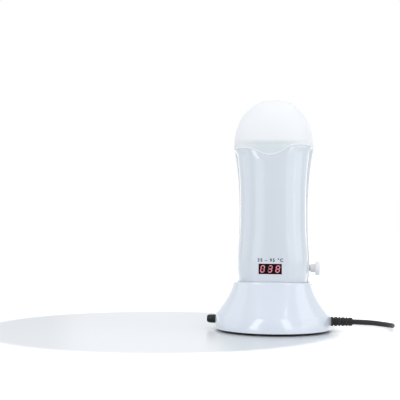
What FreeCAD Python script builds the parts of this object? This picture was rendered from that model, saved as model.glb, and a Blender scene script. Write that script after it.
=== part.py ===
import FreeCAD
import Part
import math
import os

V = FreeCAD.Vector

# Roll-on wax heater on its docking base. Millimetres, +Z up, front towards -Y.
# Origin: on the vertical axis of the heater, on the surface that the rubber foot ring stands on.

# ---- wax cartridge that the chamber takes ----
CARTRIDGE_WIDTH = 52.0
CARTRIDGE_DEPTH = 33.0
CARTRIDGE_CORNER = 8.0
CARTRIDGE_SEAT_LENGTH = 106.0
CARTRIDGE_GAP = 0.8

# ---- fits and gaps ----
PRESS_GAP = 0.02
RUNNING_GAP = 0.05
SCREW_GAP = 0.05
LOOSE_GAP = 0.3
SEAM_GAP = 0.4
SOCKET_GAP = 0.5

# ---- heating chamber and what is fixed to it ----
CHAMBER_WALL = 1.2
CHAMBER_FLOOR = 1.5
CHAMBER_FLANGE = 1.4
CHAMBER_FLANGE_THICKNESS = 1.5
HEATER_WIDTH = 34.0
HEATER_LENGTH = 50.0
HEATER_THICKNESS = 2.2
HEATER_ABOVE_FLOOR = 21.0
BAND_THICKNESS = 0.6
BAND_HEIGHT = 10.0
THERMOSTAT_RADIUS = 6.0
THERMOSTAT_DEPTH = 5.0
THERMOSTAT_ABOVE_FLOOR = 24.0
THERMOSTAT_EAR_WIDTH = 22.0
THERMOSTAT_EAR_HEIGHT = 6.0
THERMOSTAT_EAR_THICKNESS = 1.0
FUSE_RADIUS = 1.8
FUSE_LENGTH = 12.0
FUSE_ABOVE_HEATER = 8.0
FUSE_CLIP_WIDTH = 5.0
FUSE_CLIP_FLANGE = 3.0
FUSE_CLIP_WALL = 0.8

# ---- handset shells ----
SHELL_WALL = 2.2
PANEL_STEP = 0.8
PANEL_STEP_SHOULDER = 2.2
PANEL_STEP_BLEND = 1.2
PARTING_Y = -1.5
SIDE_ROOM = 3.0
BACK_ROOM = 9.3
SHOULDER_SWELL = 5.6
SHOULDER_SWELL_DEPTH = 3.5
BULGE_SWELL = 2.1
BULGE_SWELL_DEPTH = 0.8
FOOT_SWELL = 0.6
SHOULDER_POWER = 2.3
WAIST_POWER = 2.4
FOOT_POWER = 2.7
BAY_HEIGHT = 43.0
SPIGOT_HEIGHT = 5.5
WAIST_BELOW_SHOULDER = 66.0
BULGE_ABOVE_BASE = 18.2
WAIST_BLEND = 1.35
SHOULDER_BLEND = 2.35
FOOT_PLATE_THICKNESS = 2.4
FOOT_RING_HEIGHT = 3.6
FOOT_RING_WALL = 1.5

# ---- dome cap and the wave-shaped seam below it ----
DOME_HEIGHT = 49.4
DOME_POWER = 2.17
CAP_WALL = 1.8
CAP_RIB_THICKNESS = 1.5
CAP_RIB_HEIGHT = 8.0
CAP_RIB_OVERLAP = 2.5
CAP_RIB_SKIRT = 6.0
CAP_RIB_GAP = 0.1
SKIRT_TUCK = 0.8
SEAM_BELOW_SHOULDER = 1.0
SEAM_DIP = 7.2
SEAM_DIP_X = 0.3
SEAM_RISE = 3.1
SEAM_LEFT_X = -26.0
SEAM_RIGHT_X = 26.5
SEAM_END_RISE = 2.9

# ---- collar round the mouth of the chamber ----
COLLAR_WALL = 1.6
COLLAR_SKIRT = 18.5
COLLAR_TOP = 2.0

# ---- cradle under the chamber ----
CRADLE_THICKNESS = 2.0
CRADLE_RIM = 1.5
CRADLE_RIM_HEIGHT = 6.0
CRADLE_SLOT_WIDTH = 16.0
CRADLE_SLOT_DEPTH = 3.0

# ---- base ----
FOOT_REACH = 2.0
PLATE_RECESS = 0.5
PLATE_THICKNESS = 2.5
BASE_RADIUS = 58.3
BASE_HEIGHT = 45.8
BASE_WALL_HEIGHT = 14.5
BASE_SIDE_LEAN = 0.4
BASE_FRONT_LEAN = 5.0
BASE_WALL = 2.4
BASE_TOP_EDGE = 1.5
BASE_FLARE_POWER = 1.45
BASE_FRONT_POWER = 1.3
SOCKET_DEPTH = 11.8
SOCKET_WALL = 1.9
SOCKET_FLOOR = 2.4
SOCKET_RIM = 2.0
FOOT_RING_OUTER = 50.0
FOOT_RING_WIDTH = 8.0
BASE_SCREW_X = 24.0
BASE_SCREW_Y = 22.0
BOSS_RADIUS = 3.4
SCREW_RADIUS = 1.4
SCREW_HEAD_RADIUS = 2.7
SCREW_HEAD_THICKNESS = 1.5
BASE_SCREW_LENGTH = 12.0

# ---- dock contacts ----
DOCK_PIN_RADIUS = 1.5
DOCK_PIN_X = 8.0
DOCK_PIN_REACH = 8.0
DOCK_BLOCK_WIDTH = 30.0
DOCK_BLOCK_DEPTH = 16.0
DOCK_BLOCK_HEIGHT = 9.0
CONTACT_WALL = 0.7
HANDSET_BLOCK_WIDTH = 28.0
HANDSET_BLOCK_DEPTH = 14.0
HANDSET_BLOCK_HEIGHT = 9.0

# ---- power button and its switch ----
SIDE_AXIS_Z = 10.0
BUTTON_RADIUS = 4.35
BUTTON_REACH = 8.5
BUTTON_CHAMFER = 1.3
BUTTON_TRAVEL = 2.5
BUTTON_INNER_REACH = 1.9
BUTTON_STEM_RADIUS = 2.6
BUTTON_STEM_LENGTH = 6.0
SWITCH_LENGTH = 13.0
SWITCH_WIDTH = 14.0
SWITCH_HEIGHT = 10.0
SWITCH_STOP_GAP = 0.5

# ---- temperature knob and potentiometer ----
KNOB_BELOW_BULGE = 4.0
KNOB_Y = 9.0
KNOB_NECK_RADIUS = 4.25
KNOB_NECK_LENGTH = 5.6
KNOB_DISC_RADIUS = 7.0
KNOB_DISC_THICKNESS = 5.0
KNOB_EDGE = 0.8
KNOB_FLUTES = 20
KNOB_FLUTE_RADIUS = 0.7
KNOB_GAP = 0.4
SHAFT_RADIUS = 3.0
SHAFT_IN_KNOB = 6.6
POT_RADIUS = 8.0
POT_LENGTH = 8.0
POT_SEAT_DEPTH = 3.5
POT_RING_WALL = 1.6
POT_RING_LENGTH = 6.0

# ---- display and control board ----
DISPLAY_WIDTH = 22.5
DISPLAY_HEIGHT = 10.0
DISPLAY_DEPTH = 6.0
DISPLAY_RECESS = 0.8
DISPLAY_BELOW_BULGE = 3.6
DIGIT_PITCH = 7.4
DIGIT_HEIGHT = 7.0
DIGIT_WIDTH = 4.2
DIGIT_STROKE = 0.9
DIGIT_SLANT = 8.0
SEGMENT_GAP = 0.15
SEGMENT_THICKNESS = 0.15
BOARD_WIDTH = 40.0
BOARD_HEIGHT = 25.0
BOARD_THICKNESS = 1.6
BOARD_SCREW_X = 16.5
BOARD_SCREW_Z = 9.7
BOARD_POST_RADIUS = 2.4
BOARD_SCREW_RADIUS = 0.9
BOARD_SCREW_HEAD = 1.8
BOARD_SCREW_LENGTH = 4.5

# ---- what holds the two shells together, and the ledge inside them ----
SHELL_SCREW_LENGTH = 15.0
SHELL_SCREW_HEAD_Y = 4.0
SHELL_SCREW_X = 24.0
SHELL_SCREW_ABOVE_FOOT = 14.0
SHELL_BOSS_RADIUS = 3.2
TONGUE_TUCK = 1.2
TONGUE_THICKNESS = 1.5
TONGUE_HEIGHT = 9.0
TONGUE_REACH = 5.0
TONGUE_ROOT = 11.5
LOWER_TONGUE_BELOW_WAIST = 10.0
UPPER_TONGUE_BELOW_SHOULDER = 21.0
LEDGE_THICKNESS = 2.0
LEDGE_WIDTH = 2.0

# ---- cord, strain relief, coil and plug ----
CORD_DIAMETER = 5.0
RELIEF_RADIUS = 4.6
RELIEF_END_RADIUS = 4.1
RELIEF_LENGTH = 20.2
RELIEF_RIBS = 6
RELIEF_GROOVE = 0.7
RELIEF_NECK_RADIUS = 3.9
RELIEF_FLANGE_RADIUS = 4.7
RELIEF_FLANGE_THICKNESS = 2.4
INNER_CORD_LENGTH = 24.0
CLAMP_INSET = 14.3
CLAMP_SCREW_Y = 8.0
CLAMP_BAR_THICKNESS = 2.0
CLAMP_BAR_WIDTH = 7.0
CLAMP_SCREW_LENGTH = 7.0
COIL_CENTRE_X = -12.0
COIL_CENTRE_Y = 105.3
COIL_OUTER_TURN = 37.8
COIL_INNER_TURN = 22.2
COIL_LAYERS = 2
TIE_THICKNESS = 0.8
TIE_WIDTH = 8.0
TIE_GAP = 0.15
PLUG_X = -51.3
PLUG_REAR_Y = 135.6
PLUG_ABOVE_FLOOR = 0.05
PLUG_LENGTH = 36.0
PLUG_WIDTH = 35.3
PLUG_THICKNESS = 13.7
PLUG_REAR_WIDTH = 11.0
PLUG_REAR_THICKNESS = 10.0
PLUG_PIN_RADIUS = 2.0
PLUG_PIN_LENGTH = 19.0
PLUG_PIN_SPACING = 18.6
WIRE_RADIUS = 0.8
WIRE_APART = 1.4
WIRE_BELOW_CRADLE = 8.0
WIRE_ABOVE_SCREWS = 4.0
HEATER_WIRE_X = 5.0
HEATER_WIRE_RISE = 10.0

# ---- worked out from the values above ----
CHAMBER_IN_W = CARTRIDGE_WIDTH / 2 + CARTRIDGE_GAP
CHAMBER_IN_D = CARTRIDGE_DEPTH / 2 + CARTRIDGE_GAP
CHAMBER_IN_R = CARTRIDGE_CORNER + CARTRIDGE_GAP
CHAMBER_OUT_W = CHAMBER_IN_W + CHAMBER_WALL
CHAMBER_OUT_D = CHAMBER_IN_D + CHAMBER_WALL
CHAMBER_OUT_R = CHAMBER_IN_R + CHAMBER_WALL

BASE_BOTTOM_Z = FOOT_REACH
PLATE_Z = BASE_BOTTOM_Z + PLATE_RECESS
PLATE_TOP_Z = PLATE_Z + PLATE_THICKNESS
BASE_WALL_TOP_Z = BASE_BOTTOM_Z + BASE_WALL_HEIGHT
BASE_TOP_Z = BASE_BOTTOM_Z + BASE_HEIGHT
FOOT_Z = BASE_TOP_Z - SOCKET_DEPTH
CHAMBER_Z = FOOT_Z + BAY_HEIGHT
COLLAR_TOP_Z = CHAMBER_Z + CHAMBER_FLOOR + CARTRIDGE_SEAT_LENGTH
SHOULDER_Z = COLLAR_TOP_Z - SPIGOT_HEIGHT
WAIST_Z = SHOULDER_Z - WAIST_BELOW_SHOULDER
BULGE_Z = BASE_TOP_Z + BULGE_ABOVE_BASE
TOP_Z = SHOULDER_Z + DOME_HEIGHT
PLUG_AXIS_Z = PLUG_ABOVE_FLOOR + PLUG_THICKNESS / 2
SEAM_Z = SHOULDER_Z - SEAM_BELOW_SHOULDER

WAIST_W = CHAMBER_OUT_W + PANEL_STEP + SHELL_WALL + SIDE_ROOM
WAIST_D = CHAMBER_OUT_D + SHELL_WALL + BACK_ROOM
SHOULDER_W = WAIST_W + SHOULDER_SWELL
SHOULDER_D = WAIST_D + SHOULDER_SWELL_DEPTH
BULGE_W = WAIST_W + BULGE_SWELL
BULGE_D = WAIST_D + BULGE_SWELL_DEPTH
FOOT_W = WAIST_W + FOOT_SWELL
FOOT_D = WAIST_D
SOCKET_W = FOOT_W + SOCKET_GAP
SOCKET_D = FOOT_D + SOCKET_GAP
BASE_TOP_W = SOCKET_W + SOCKET_WALL + SOCKET_RIM
BASE_TOP_D = SOCKET_D + SOCKET_WALL + SOCKET_RIM

SECTION_POINTS = 28


# ---- plain solids ----
def block(x0, x1, y0, y1, z0, z1):
    return Part.makeBox(x1 - x0, y1 - y0, z1 - z0, V(x0, y0, z0))


def rod(radius, start, end):
    start = V(*start)
    end = V(*end)
    return Part.makeCylinder(radius, (end - start).Length, start, end - start)


def slab_outline(half_w, half_d, corner, z, centre_y=0.0):
    """Rectangle with round corners, level at height z."""
    lines = []
    x = half_w - corner
    y = half_d - corner
    quarter = math.sqrt(0.5) * corner
    for sx, sy in ((1, -1), (1, 1), (-1, 1), (-1, -1)):
        on_x = V(sx * half_w, centre_y + sy * y, z)
        on_y = V(sx * x, centre_y + sy * half_d, z)
        middle = V(sx * (x + quarter), centre_y + sy * (y + quarter), z)
        first, last = (on_y, on_x) if sx * sy < 0 else (on_x, on_y)
        lines.append(Part.Arc(first, middle, last).toShape())
    edges = []
    for arc, following in zip(lines, lines[1:] + lines[:1]):
        edges.append(arc)
        edges.append(Part.LineSegment(arc.Vertexes[-1].Point, following.Vertexes[0].Point).toShape())
    return Part.Wire(edges)


def slab(half_w, half_d, corner, z0, z1, centre_y=0.0):
    face = Part.Face(slab_outline(half_w, half_d, corner, z0, centre_y))
    return face.extrude(V(0, 0, z1 - z0))


def oval(half_w, half_d, power, z):
    """Closed smooth outline |x/w|^p + |y/d|^p = 1, at equal steps of the polar angle."""
    points = []
    for k in range(SECTION_POINTS):
        turn = 2 * math.pi * k / SECTION_POINTS
        reach = abs(math.cos(turn) / half_w) ** power + abs(math.sin(turn) / half_d) ** power
        reach = reach ** (-1 / power)
        points.append(V(reach * math.cos(turn), reach * math.sin(turn), z))
    curve = Part.BSplineCurve()
    curve.interpolate(Points=points, PeriodicFlag=True)
    return Part.Wire([curve.toShape()])


def oval_slab(half_w, half_d, power, z0, z1):
    return Part.Face(oval(half_w, half_d, power, z0)).extrude(V(0, 0, z1 - z0))


def spaced(start, end, count):
    return [start + (end - start) * k / count for k in range(count + 1)]


def fused(shapes):
    whole = shapes[0]
    for shape in shapes[1:]:
        whole = whole.fuse(shape)
    return whole


# ---- outer form of the handset and its dome ----
def form(z):
    """Half width, half depth and squareness of the outer form at height z."""
    if z <= BASE_TOP_Z:
        return FOOT_W, FOOT_D, FOOT_POWER
    if z <= BULGE_Z:
        fall = ((BULGE_Z - z) / (BULGE_Z - BASE_TOP_Z)) ** 2
        return BULGE_W - (BULGE_W - FOOT_W) * fall, BULGE_D - (BULGE_D - FOOT_D) * fall, FOOT_POWER
    if z <= WAIST_Z:
        share = (WAIST_Z - z) / (WAIST_Z - BULGE_Z)
        swell = (1 - math.cos(math.pi * share ** WAIST_BLEND)) / 2
        power = WAIST_POWER + (FOOT_POWER - WAIST_POWER) * swell
        return WAIST_W + (BULGE_W - WAIST_W) * swell, WAIST_D + (BULGE_D - WAIST_D) * swell, power
    if z <= SHOULDER_Z:
        swell = ((z - WAIST_Z) / (SHOULDER_Z - WAIST_Z)) ** SHOULDER_BLEND
        power = WAIST_POWER + (SHOULDER_POWER - WAIST_POWER) * swell
        return WAIST_W + SHOULDER_SWELL * swell, WAIST_D + SHOULDER_SWELL_DEPTH * swell, power
    return dome_form(z, 0.0)


def dome_form(z, inset):
    """Superellipse from the shoulder up to the crown, drawn in by inset on every side."""
    rise = (z - SHOULDER_Z) / (DOME_HEIGHT - inset)
    share = (1 - rise ** DOME_POWER) ** (1 / DOME_POWER)
    return (SHOULDER_W - inset) * share, (SHOULDER_D - inset) * share, SHOULDER_POWER


def panel_step(z):
    """How far the sides of the front panel lie inside those of the rear shell at height z."""
    rise = max(0.0, min(1.0, (z - WAIST_Z) / (SHOULDER_Z - WAIST_Z)))
    return PANEL_STEP + (PANEL_STEP_SHOULDER - PANEL_STEP) * rise ** PANEL_STEP_BLEND


def shell_heights():
    low = spaced(BASE_TOP_Z, BULGE_Z, 3)
    middle = spaced(BULGE_Z, WAIST_Z, 4)[1:]
    high = spaced(WAIST_Z, SHOULDER_Z, 6)[1:]
    return low + middle + high + spaced(SHOULDER_Z, SHOULDER_Z + SEAM_RISE + 1.0, 2)[1:]


def handset_form(stepped, wall):
    """The handset from its foot plate to just above the seam, drawn in by wall and, at the sides, by the
    panel's step if stepped is 1."""
    shank_z = FOOT_Z + FOOT_PLATE_THICKNESS
    shank = oval_slab(FOOT_W - stepped * PANEL_STEP - wall, FOOT_D - wall, FOOT_POWER, shank_z, BASE_TOP_Z)
    wires = []
    for z in shell_heights():
        half_w, half_d, power = form(z)
        wires.append(oval(half_w - stepped * panel_step(z) - wall, half_d - wall, power, z))
    return shank.fuse(Part.makeLoft(wires, True))


def seam_wave(z_shift):
    """Everything below the wave: level at the left, a dip at the front middle, a crest at the right."""
    far = 2 * SHOULDER_W
    level = SEAM_Z + z_shift
    left = V(SEAM_LEFT_X, 0, level)
    dip = V(SEAM_DIP_X, 0, level - SEAM_DIP)
    crest = V(SEAM_RIGHT_X, 0, level + SEAM_RISE)
    right = V(SHOULDER_W, 0, level + SEAM_END_RISE)
    edges = [Part.LineSegment(V(-far, 0, level), left).toShape()]
    for start, end in ((left, dip), (dip, crest), (crest, right)):
        pull = 0.38 * (end.x - start.x)
        curve = Part.BezierCurve()
        curve.setPoles([start, V(start.x + pull, 0, start.z), V(end.x - pull, 0, end.z), end])
        edges.append(curve.toShape())
    corner = V(far, 0, right.z)
    edges.append(Part.LineSegment(right, corner).toShape())
    edges.append(Part.LineSegment(corner, V(far, 0, 0)).toShape())
    edges.append(Part.LineSegment(V(far, 0, 0), V(-far, 0, 0)).toShape())
    edges.append(Part.LineSegment(V(-far, 0, 0), V(-far, 0, level)).toShape())
    face = Part.Face(Part.Wire(edges))
    face.translate(V(0, -far, 0))
    return face.extrude(V(0, 2 * far, 0))


def front_of(y):
    far = 4 * SHOULDER_W
    return block(-far, far, -far, y, -1.0, TOP_Z + 1.0)


# ---- base ----
def base_form_at(z):
    if z <= BASE_WALL_TOP_Z:
        share = (z - BASE_BOTTOM_Z) / BASE_WALL_HEIGHT
        return BASE_RADIUS - BASE_SIDE_LEAN * share, BASE_RADIUS - BASE_FRONT_LEAN * share ** 2, 2.0
    share = 1 - (z - BASE_WALL_TOP_Z) / (BASE_TOP_Z - BASE_WALL_TOP_Z)
    side = BASE_RADIUS - BASE_SIDE_LEAN - BASE_TOP_W
    front = BASE_RADIUS - BASE_FRONT_LEAN - BASE_TOP_D
    half_w = BASE_TOP_W + side * share ** BASE_FLARE_POWER
    half_d = BASE_TOP_D + front * share ** BASE_FRONT_POWER
    return half_w, half_d, FOOT_POWER + (2.0 - FOOT_POWER) * share


def base_loft(heights, inset):
    wires = []
    for z in heights:
        half_w, half_d, power = base_form_at(z)
        wires.append(oval(half_w - inset, half_d - inset, power, z))
    return Part.makeLoft(wires, True)


def base_solid():
    wall = base_loft(spaced(BASE_BOTTOM_Z, BASE_WALL_TOP_Z, 3), 0.0)
    edge_z = BASE_TOP_Z - BASE_TOP_EDGE
    flare = base_loft(spaced(BASE_WALL_TOP_Z, edge_z, 6), 0.0)
    rim = []
    for share in (0.0, 0.45, 0.75, 0.93, 1.0):
        half_w, half_d, power = base_form_at(edge_z)
        inset = BASE_TOP_EDGE * (1 - math.sqrt(1 - share ** 2)) * 0.8
        rim.append(oval(half_w - inset, half_d - inset, power, edge_z + BASE_TOP_EDGE * share))
    return fused([wall, flare, Part.makeLoft(rim, True, True)])


def base_cavity():
    wall = base_loft(spaced(BASE_BOTTOM_Z, BASE_WALL_TOP_Z, 3), BASE_WALL)
    flare = base_loft(spaced(BASE_WALL_TOP_Z, BASE_TOP_Z - 2 * BASE_WALL, 6), BASE_WALL)
    return wall.fuse(flare)


def base_screw_places():
    return [(sx * BASE_SCREW_X, sy * BASE_SCREW_Y) for sx in (-1, 1) for sy in (-1, 1)]


def dock_pin_places():
    return [(-DOCK_PIN_X, 0.0), (DOCK_PIN_X, 0.0)]


def base_shell():
    cup_z = FOOT_Z - SOCKET_FLOOR
    cup_top = BASE_TOP_Z - BASE_WALL
    cup = oval_slab(SOCKET_W + SOCKET_WALL, SOCKET_D + SOCKET_WALL, FOOT_POWER, cup_z, cup_top)
    socket = oval_slab(SOCKET_W, SOCKET_D, FOOT_POWER, FOOT_Z, BASE_TOP_Z + 1.0)
    shell = base_solid().cut(base_cavity()).fuse(cup)
    for x, y in base_screw_places():
        shell = shell.fuse(rod(BOSS_RADIUS, (x, y, PLATE_TOP_Z), (x, y, cup_z + SOCKET_FLOOR / 2)))
    shell = shell.cut(socket)
    for x, y in base_screw_places():
        hole_top = PLATE_Z + BASE_SCREW_LENGTH + 2.0
        shell = shell.cut(rod(SCREW_RADIUS + SCREW_GAP, (x, y, PLATE_Z), (x, y, hole_top)))
    for x, y in dock_pin_places():
        shell = shell.cut(rod(DOCK_PIN_RADIUS + LOOSE_GAP, (x, y, cup_z - 1), (x, y, FOOT_Z + 1)))
    near = BASE_RADIUS / 2
    far = 2 * BASE_RADIUS
    button_hole = rod(BUTTON_RADIUS + LOOSE_GAP, (-far, 0, SIDE_AXIS_Z), (-near, 0, SIDE_AXIS_Z))
    relief_hole = rod(RELIEF_NECK_RADIUS + PRESS_GAP, (near, 0, SIDE_AXIS_Z), (far, 0, SIDE_AXIS_Z))
    return shell.cut(button_hole).cut(relief_hole)


def clamp_x():
    return BASE_RADIUS - CLAMP_INSET


def clamp_screw_places():
    return [(clamp_x(), -CLAMP_SCREW_Y), (clamp_x(), CLAMP_SCREW_Y)]


def clamp_bar_z():
    return SIDE_AXIS_Z + CORD_DIAMETER / 2 + RUNNING_GAP


def head_pocket_z():
    return PLATE_Z + SCREW_HEAD_THICKNESS + 0.2


def base_plate():
    radius = BASE_RADIUS - BASE_SIDE_LEAN - BASE_WALL - LOOSE_GAP
    plate = rod(radius, (0, 0, PLATE_Z), (0, 0, PLATE_TOP_Z))
    for x, y in clamp_screw_places():
        plate = plate.fuse(rod(BOSS_RADIUS, (x, y, PLATE_Z + 1.0), (x, y, clamp_bar_z())))
    saddle_top = SIDE_AXIS_Z - CORD_DIAMETER / 2 - RUNNING_GAP
    x0 = clamp_x() - CLAMP_BAR_WIDTH / 2
    x1 = clamp_x() + CLAMP_BAR_WIDTH / 2
    plate = plate.fuse(block(x0, x1, -CLAMP_SCREW_Y, CLAMP_SCREW_Y, PLATE_Z + 1.0, saddle_top))
    for x, y in clamp_screw_places():
        low = clamp_bar_z() + CLAMP_BAR_THICKNESS - CLAMP_SCREW_LENGTH - 0.5
        plate = plate.cut(rod(SCREW_RADIUS + SCREW_GAP, (x, y, low), (x, y, clamp_bar_z() + 1)))
    for x, y in base_screw_places():
        plate = plate.cut(rod(SCREW_RADIUS + LOOSE_GAP, (x, y, PLATE_Z - 1), (x, y, PLATE_TOP_Z + 1)))
        plate = plate.cut(rod(SCREW_HEAD_RADIUS + LOOSE_GAP, (x, y, PLATE_Z - 1), (x, y, head_pocket_z())))
    return plate


def screw(head, tip, radius, head_radius, head_thickness):
    """Pan-head screw: the head's underside is at head and the point at tip."""
    along = (V(*tip) - V(*head)).normalize()
    back = V(*head) - along * head_thickness
    cap = rod(head_radius, tuple(back), head)
    cap = cap.cut(rod(head_radius * 0.45, tuple(back), tuple(back + along * head_thickness * 0.5)))
    return cap.fuse(rod(radius, head, tip))


def base_screws():
    pieces = []
    for x, y in base_screw_places():
        head = (x, y, head_pocket_z())
        tip = (x, y, head_pocket_z() + BASE_SCREW_LENGTH)
        pieces.append(screw(head, tip, SCREW_RADIUS, SCREW_HEAD_RADIUS, SCREW_HEAD_THICKNESS))
    return Part.makeCompound(pieces)


def foot_ring():
    outer = rod(FOOT_RING_OUTER, (0, 0, 0), (0, 0, PLATE_Z))
    return outer.cut(rod(FOOT_RING_OUTER - FOOT_RING_WIDTH, (0, 0, -1), (0, 0, PLATE_Z + 1)))


# ---- dock contacts ----
def dock_connector():
    top = FOOT_Z - SOCKET_FLOOR
    half_w = DOCK_BLOCK_WIDTH / 2
    half_d = DOCK_BLOCK_DEPTH / 2
    body = block(-half_w, half_w, -half_d, half_d, top - DOCK_BLOCK_HEIGHT, top)
    for x, y in dock_pin_places():
        low = top - DOCK_BLOCK_HEIGHT * 0.7
        body = body.cut(rod(DOCK_PIN_RADIUS + PRESS_GAP, (x, y, low), (x, y, top + 1)))
    return body


def dock_pins():
    pieces = []
    low = FOOT_Z - SOCKET_FLOOR - DOCK_BLOCK_HEIGHT * 0.7
    for x, y in dock_pin_places():
        straight = rod(DOCK_PIN_RADIUS, (x, y, low), (x, y, FOOT_Z + DOCK_PIN_REACH))
        nose = Part.makeSphere(DOCK_PIN_RADIUS, V(x, y, FOOT_Z + DOCK_PIN_REACH))
        pieces.append(straight.fuse(nose))
    return Part.makeCompound(pieces)


def contact_reach():
    return DOCK_PIN_RADIUS + LOOSE_GAP + CONTACT_WALL


def handset_socket():
    low = FOOT_Z + FOOT_PLATE_THICKNESS
    half_w = HANDSET_BLOCK_WIDTH / 2
    half_d = HANDSET_BLOCK_DEPTH / 2
    body = block(-half_w, half_w, -half_d, half_d, low, low + HANDSET_BLOCK_HEIGHT)
    top = low + HANDSET_BLOCK_HEIGHT - 1.0
    for x, y in dock_pin_places():
        body = body.cut(rod(contact_reach() + PRESS_GAP, (x, y, low - 1), (x, y, top)))
    return body


def handset_contacts():
    low = FOOT_Z + FOOT_PLATE_THICKNESS
    top = low + HANDSET_BLOCK_HEIGHT - 1.0
    pieces = []
    for x, y in dock_pin_places():
        sleeve = rod(contact_reach(), (x, y, low), (x, y, top))
        pieces.append(sleeve.cut(rod(DOCK_PIN_RADIUS + LOOSE_GAP, (x, y, low - 1), (x, y, top + 1))))
    return Part.makeCompound(pieces)


# ---- power button and its switch ----
def button_tip_x():
    return -(BASE_RADIUS + BUTTON_REACH)


def button_back_x():
    return -(BASE_RADIUS - BASE_WALL - BUTTON_INNER_REACH)


def switch_face_x():
    return button_back_x() + BUTTON_TRAVEL + SWITCH_STOP_GAP


def power_button():
    cap = rod(BUTTON_RADIUS, (button_tip_x(), 0, SIDE_AXIS_Z), (button_back_x(), 0, SIDE_AXIS_Z))
    rim = [edge for edge in cap.Edges if abs(edge.CenterOfMass.x - button_tip_x()) < 0.01]
    cap = cap.makeFillet(BUTTON_CHAMFER, rim)
    end = button_back_x() + BUTTON_STEM_LENGTH
    return cap.fuse(rod(BUTTON_STEM_RADIUS, (button_back_x(), 0, SIDE_AXIS_Z), (end, 0, SIDE_AXIS_Z)))


def power_switch():
    face = switch_face_x()
    half = SWITCH_WIDTH / 2
    body = block(face, face + SWITCH_LENGTH, -half, half, PLATE_TOP_Z, PLATE_TOP_Z + SWITCH_HEIGHT)
    depth = button_back_x() + BUTTON_STEM_LENGTH + BUTTON_TRAVEL + SWITCH_STOP_GAP
    return body.cut(rod(BUTTON_STEM_RADIUS + LOOSE_GAP, (face - 1, 0, SIDE_AXIS_Z), (depth, 0, SIDE_AXIS_Z)))


# ---- handset shells ----
def shell_screw_z():
    return FOOT_Z + SHELL_SCREW_ABOVE_FOOT


def shell_screw_places():
    return [(-SHELL_SCREW_X, shell_screw_z()), (SHELL_SCREW_X, shell_screw_z())]


def tongues():
    """Flat tongues that reach back from the panel's sides behind the edges of the rear shell."""
    pieces = []
    for z in (WAIST_Z - LOWER_TONGUE_BELOW_WAIST, SHOULDER_Z - UPPER_TONGUE_BELOW_SHOULDER):
        outer = form(z)[0] - panel_step(z) - SHELL_WALL - TONGUE_TUCK
        inner = outer - TONGUE_THICKNESS
        low = z - TONGUE_HEIGHT / 2
        high = z + TONGUE_HEIGHT / 2
        for x in (-outer, inner):
            front = PARTING_Y - SHELL_WALL - TONGUE_ROOT
            pieces.append(block(x, x + TONGUE_THICKNESS, front, PARTING_Y + TONGUE_REACH, low, high))
    return pieces


def cradle_z():
    return CHAMBER_Z - CRADLE_THICKNESS


def ledge():
    """Ring inside both shells that the cradle rests on."""
    top = cradle_z()
    low = top - LEDGE_THICKNESS
    half_w, half_d, power = form(top)
    inner_w = half_w - PANEL_STEP - SHELL_WALL - LEDGE_WIDTH
    inner_d = half_d - SHELL_WALL - LEDGE_WIDTH
    outer = oval_slab(half_w - PANEL_STEP - SHELL_WALL / 2, half_d - SHELL_WALL / 2, power, low, top)
    return outer.cut(oval_slab(inner_w, inner_d, power, low - 1, top + 1))


def display_z():
    return BULGE_Z - DISPLAY_BELOW_BULGE


def display_face_y():
    return DISPLAY_RECESS - BULGE_D


def board_y():
    return display_face_y() + DISPLAY_DEPTH


def board_screw_places():
    z = display_z()
    return [(sx * BOARD_SCREW_X, z + sz * BOARD_SCREW_Z) for sx in (-1, 1) for sz in (-1, 1)]


def front_panel():
    outer = handset_form(1, 0.0)
    inner = handset_form(1, SHELL_WALL)
    below = seam_wave(-SEAM_GAP / 2)
    front = front_of(PARTING_Y)
    panel = outer.cut(inner).common(front).common(below)
    envelope = outer.common(front)
    posts = []
    for x, z in shell_screw_places():
        posts.append(rod(SHELL_BOSS_RADIUS, (x, PARTING_Y, z), (x, -2 * SHOULDER_D, z)))
    for x, z in board_screw_places():
        posts.append(rod(BOARD_POST_RADIUS, (x, board_y(), z), (x, -2 * SHOULDER_D, z)))
    for post in posts:
        panel = panel.fuse(post.common(envelope))
    panel = panel.fuse(ledge().common(front))
    for tongue in tongues():
        panel = panel.fuse(tongue)
    for x, z in shell_screw_places():
        tip = SHELL_SCREW_HEAD_Y - SHELL_SCREW_LENGTH - 0.5
        panel = panel.cut(rod(SCREW_RADIUS + SCREW_GAP, (x, PARTING_Y + 1, z), (x, tip, z)))
    for x, z in board_screw_places():
        tip = board_y() + BOARD_THICKNESS - BOARD_SCREW_LENGTH - 0.3
        panel = panel.cut(rod(BOARD_SCREW_RADIUS + SCREW_GAP, (x, board_y() + 1, z), (x, tip, z)))
    half_w = DISPLAY_WIDTH / 2 + RUNNING_GAP
    half_h = DISPLAY_HEIGHT / 2 + RUNNING_GAP
    window = block(-half_w, half_w, -2 * SHOULDER_D, board_y(), display_z() - half_h, display_z() + half_h)
    return panel.cut(window)


def knob_z():
    return BULGE_Z - KNOB_BELOW_BULGE


def pot_face_x():
    return form(knob_z())[0] - SHELL_WALL - POT_SEAT_DEPTH


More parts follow.
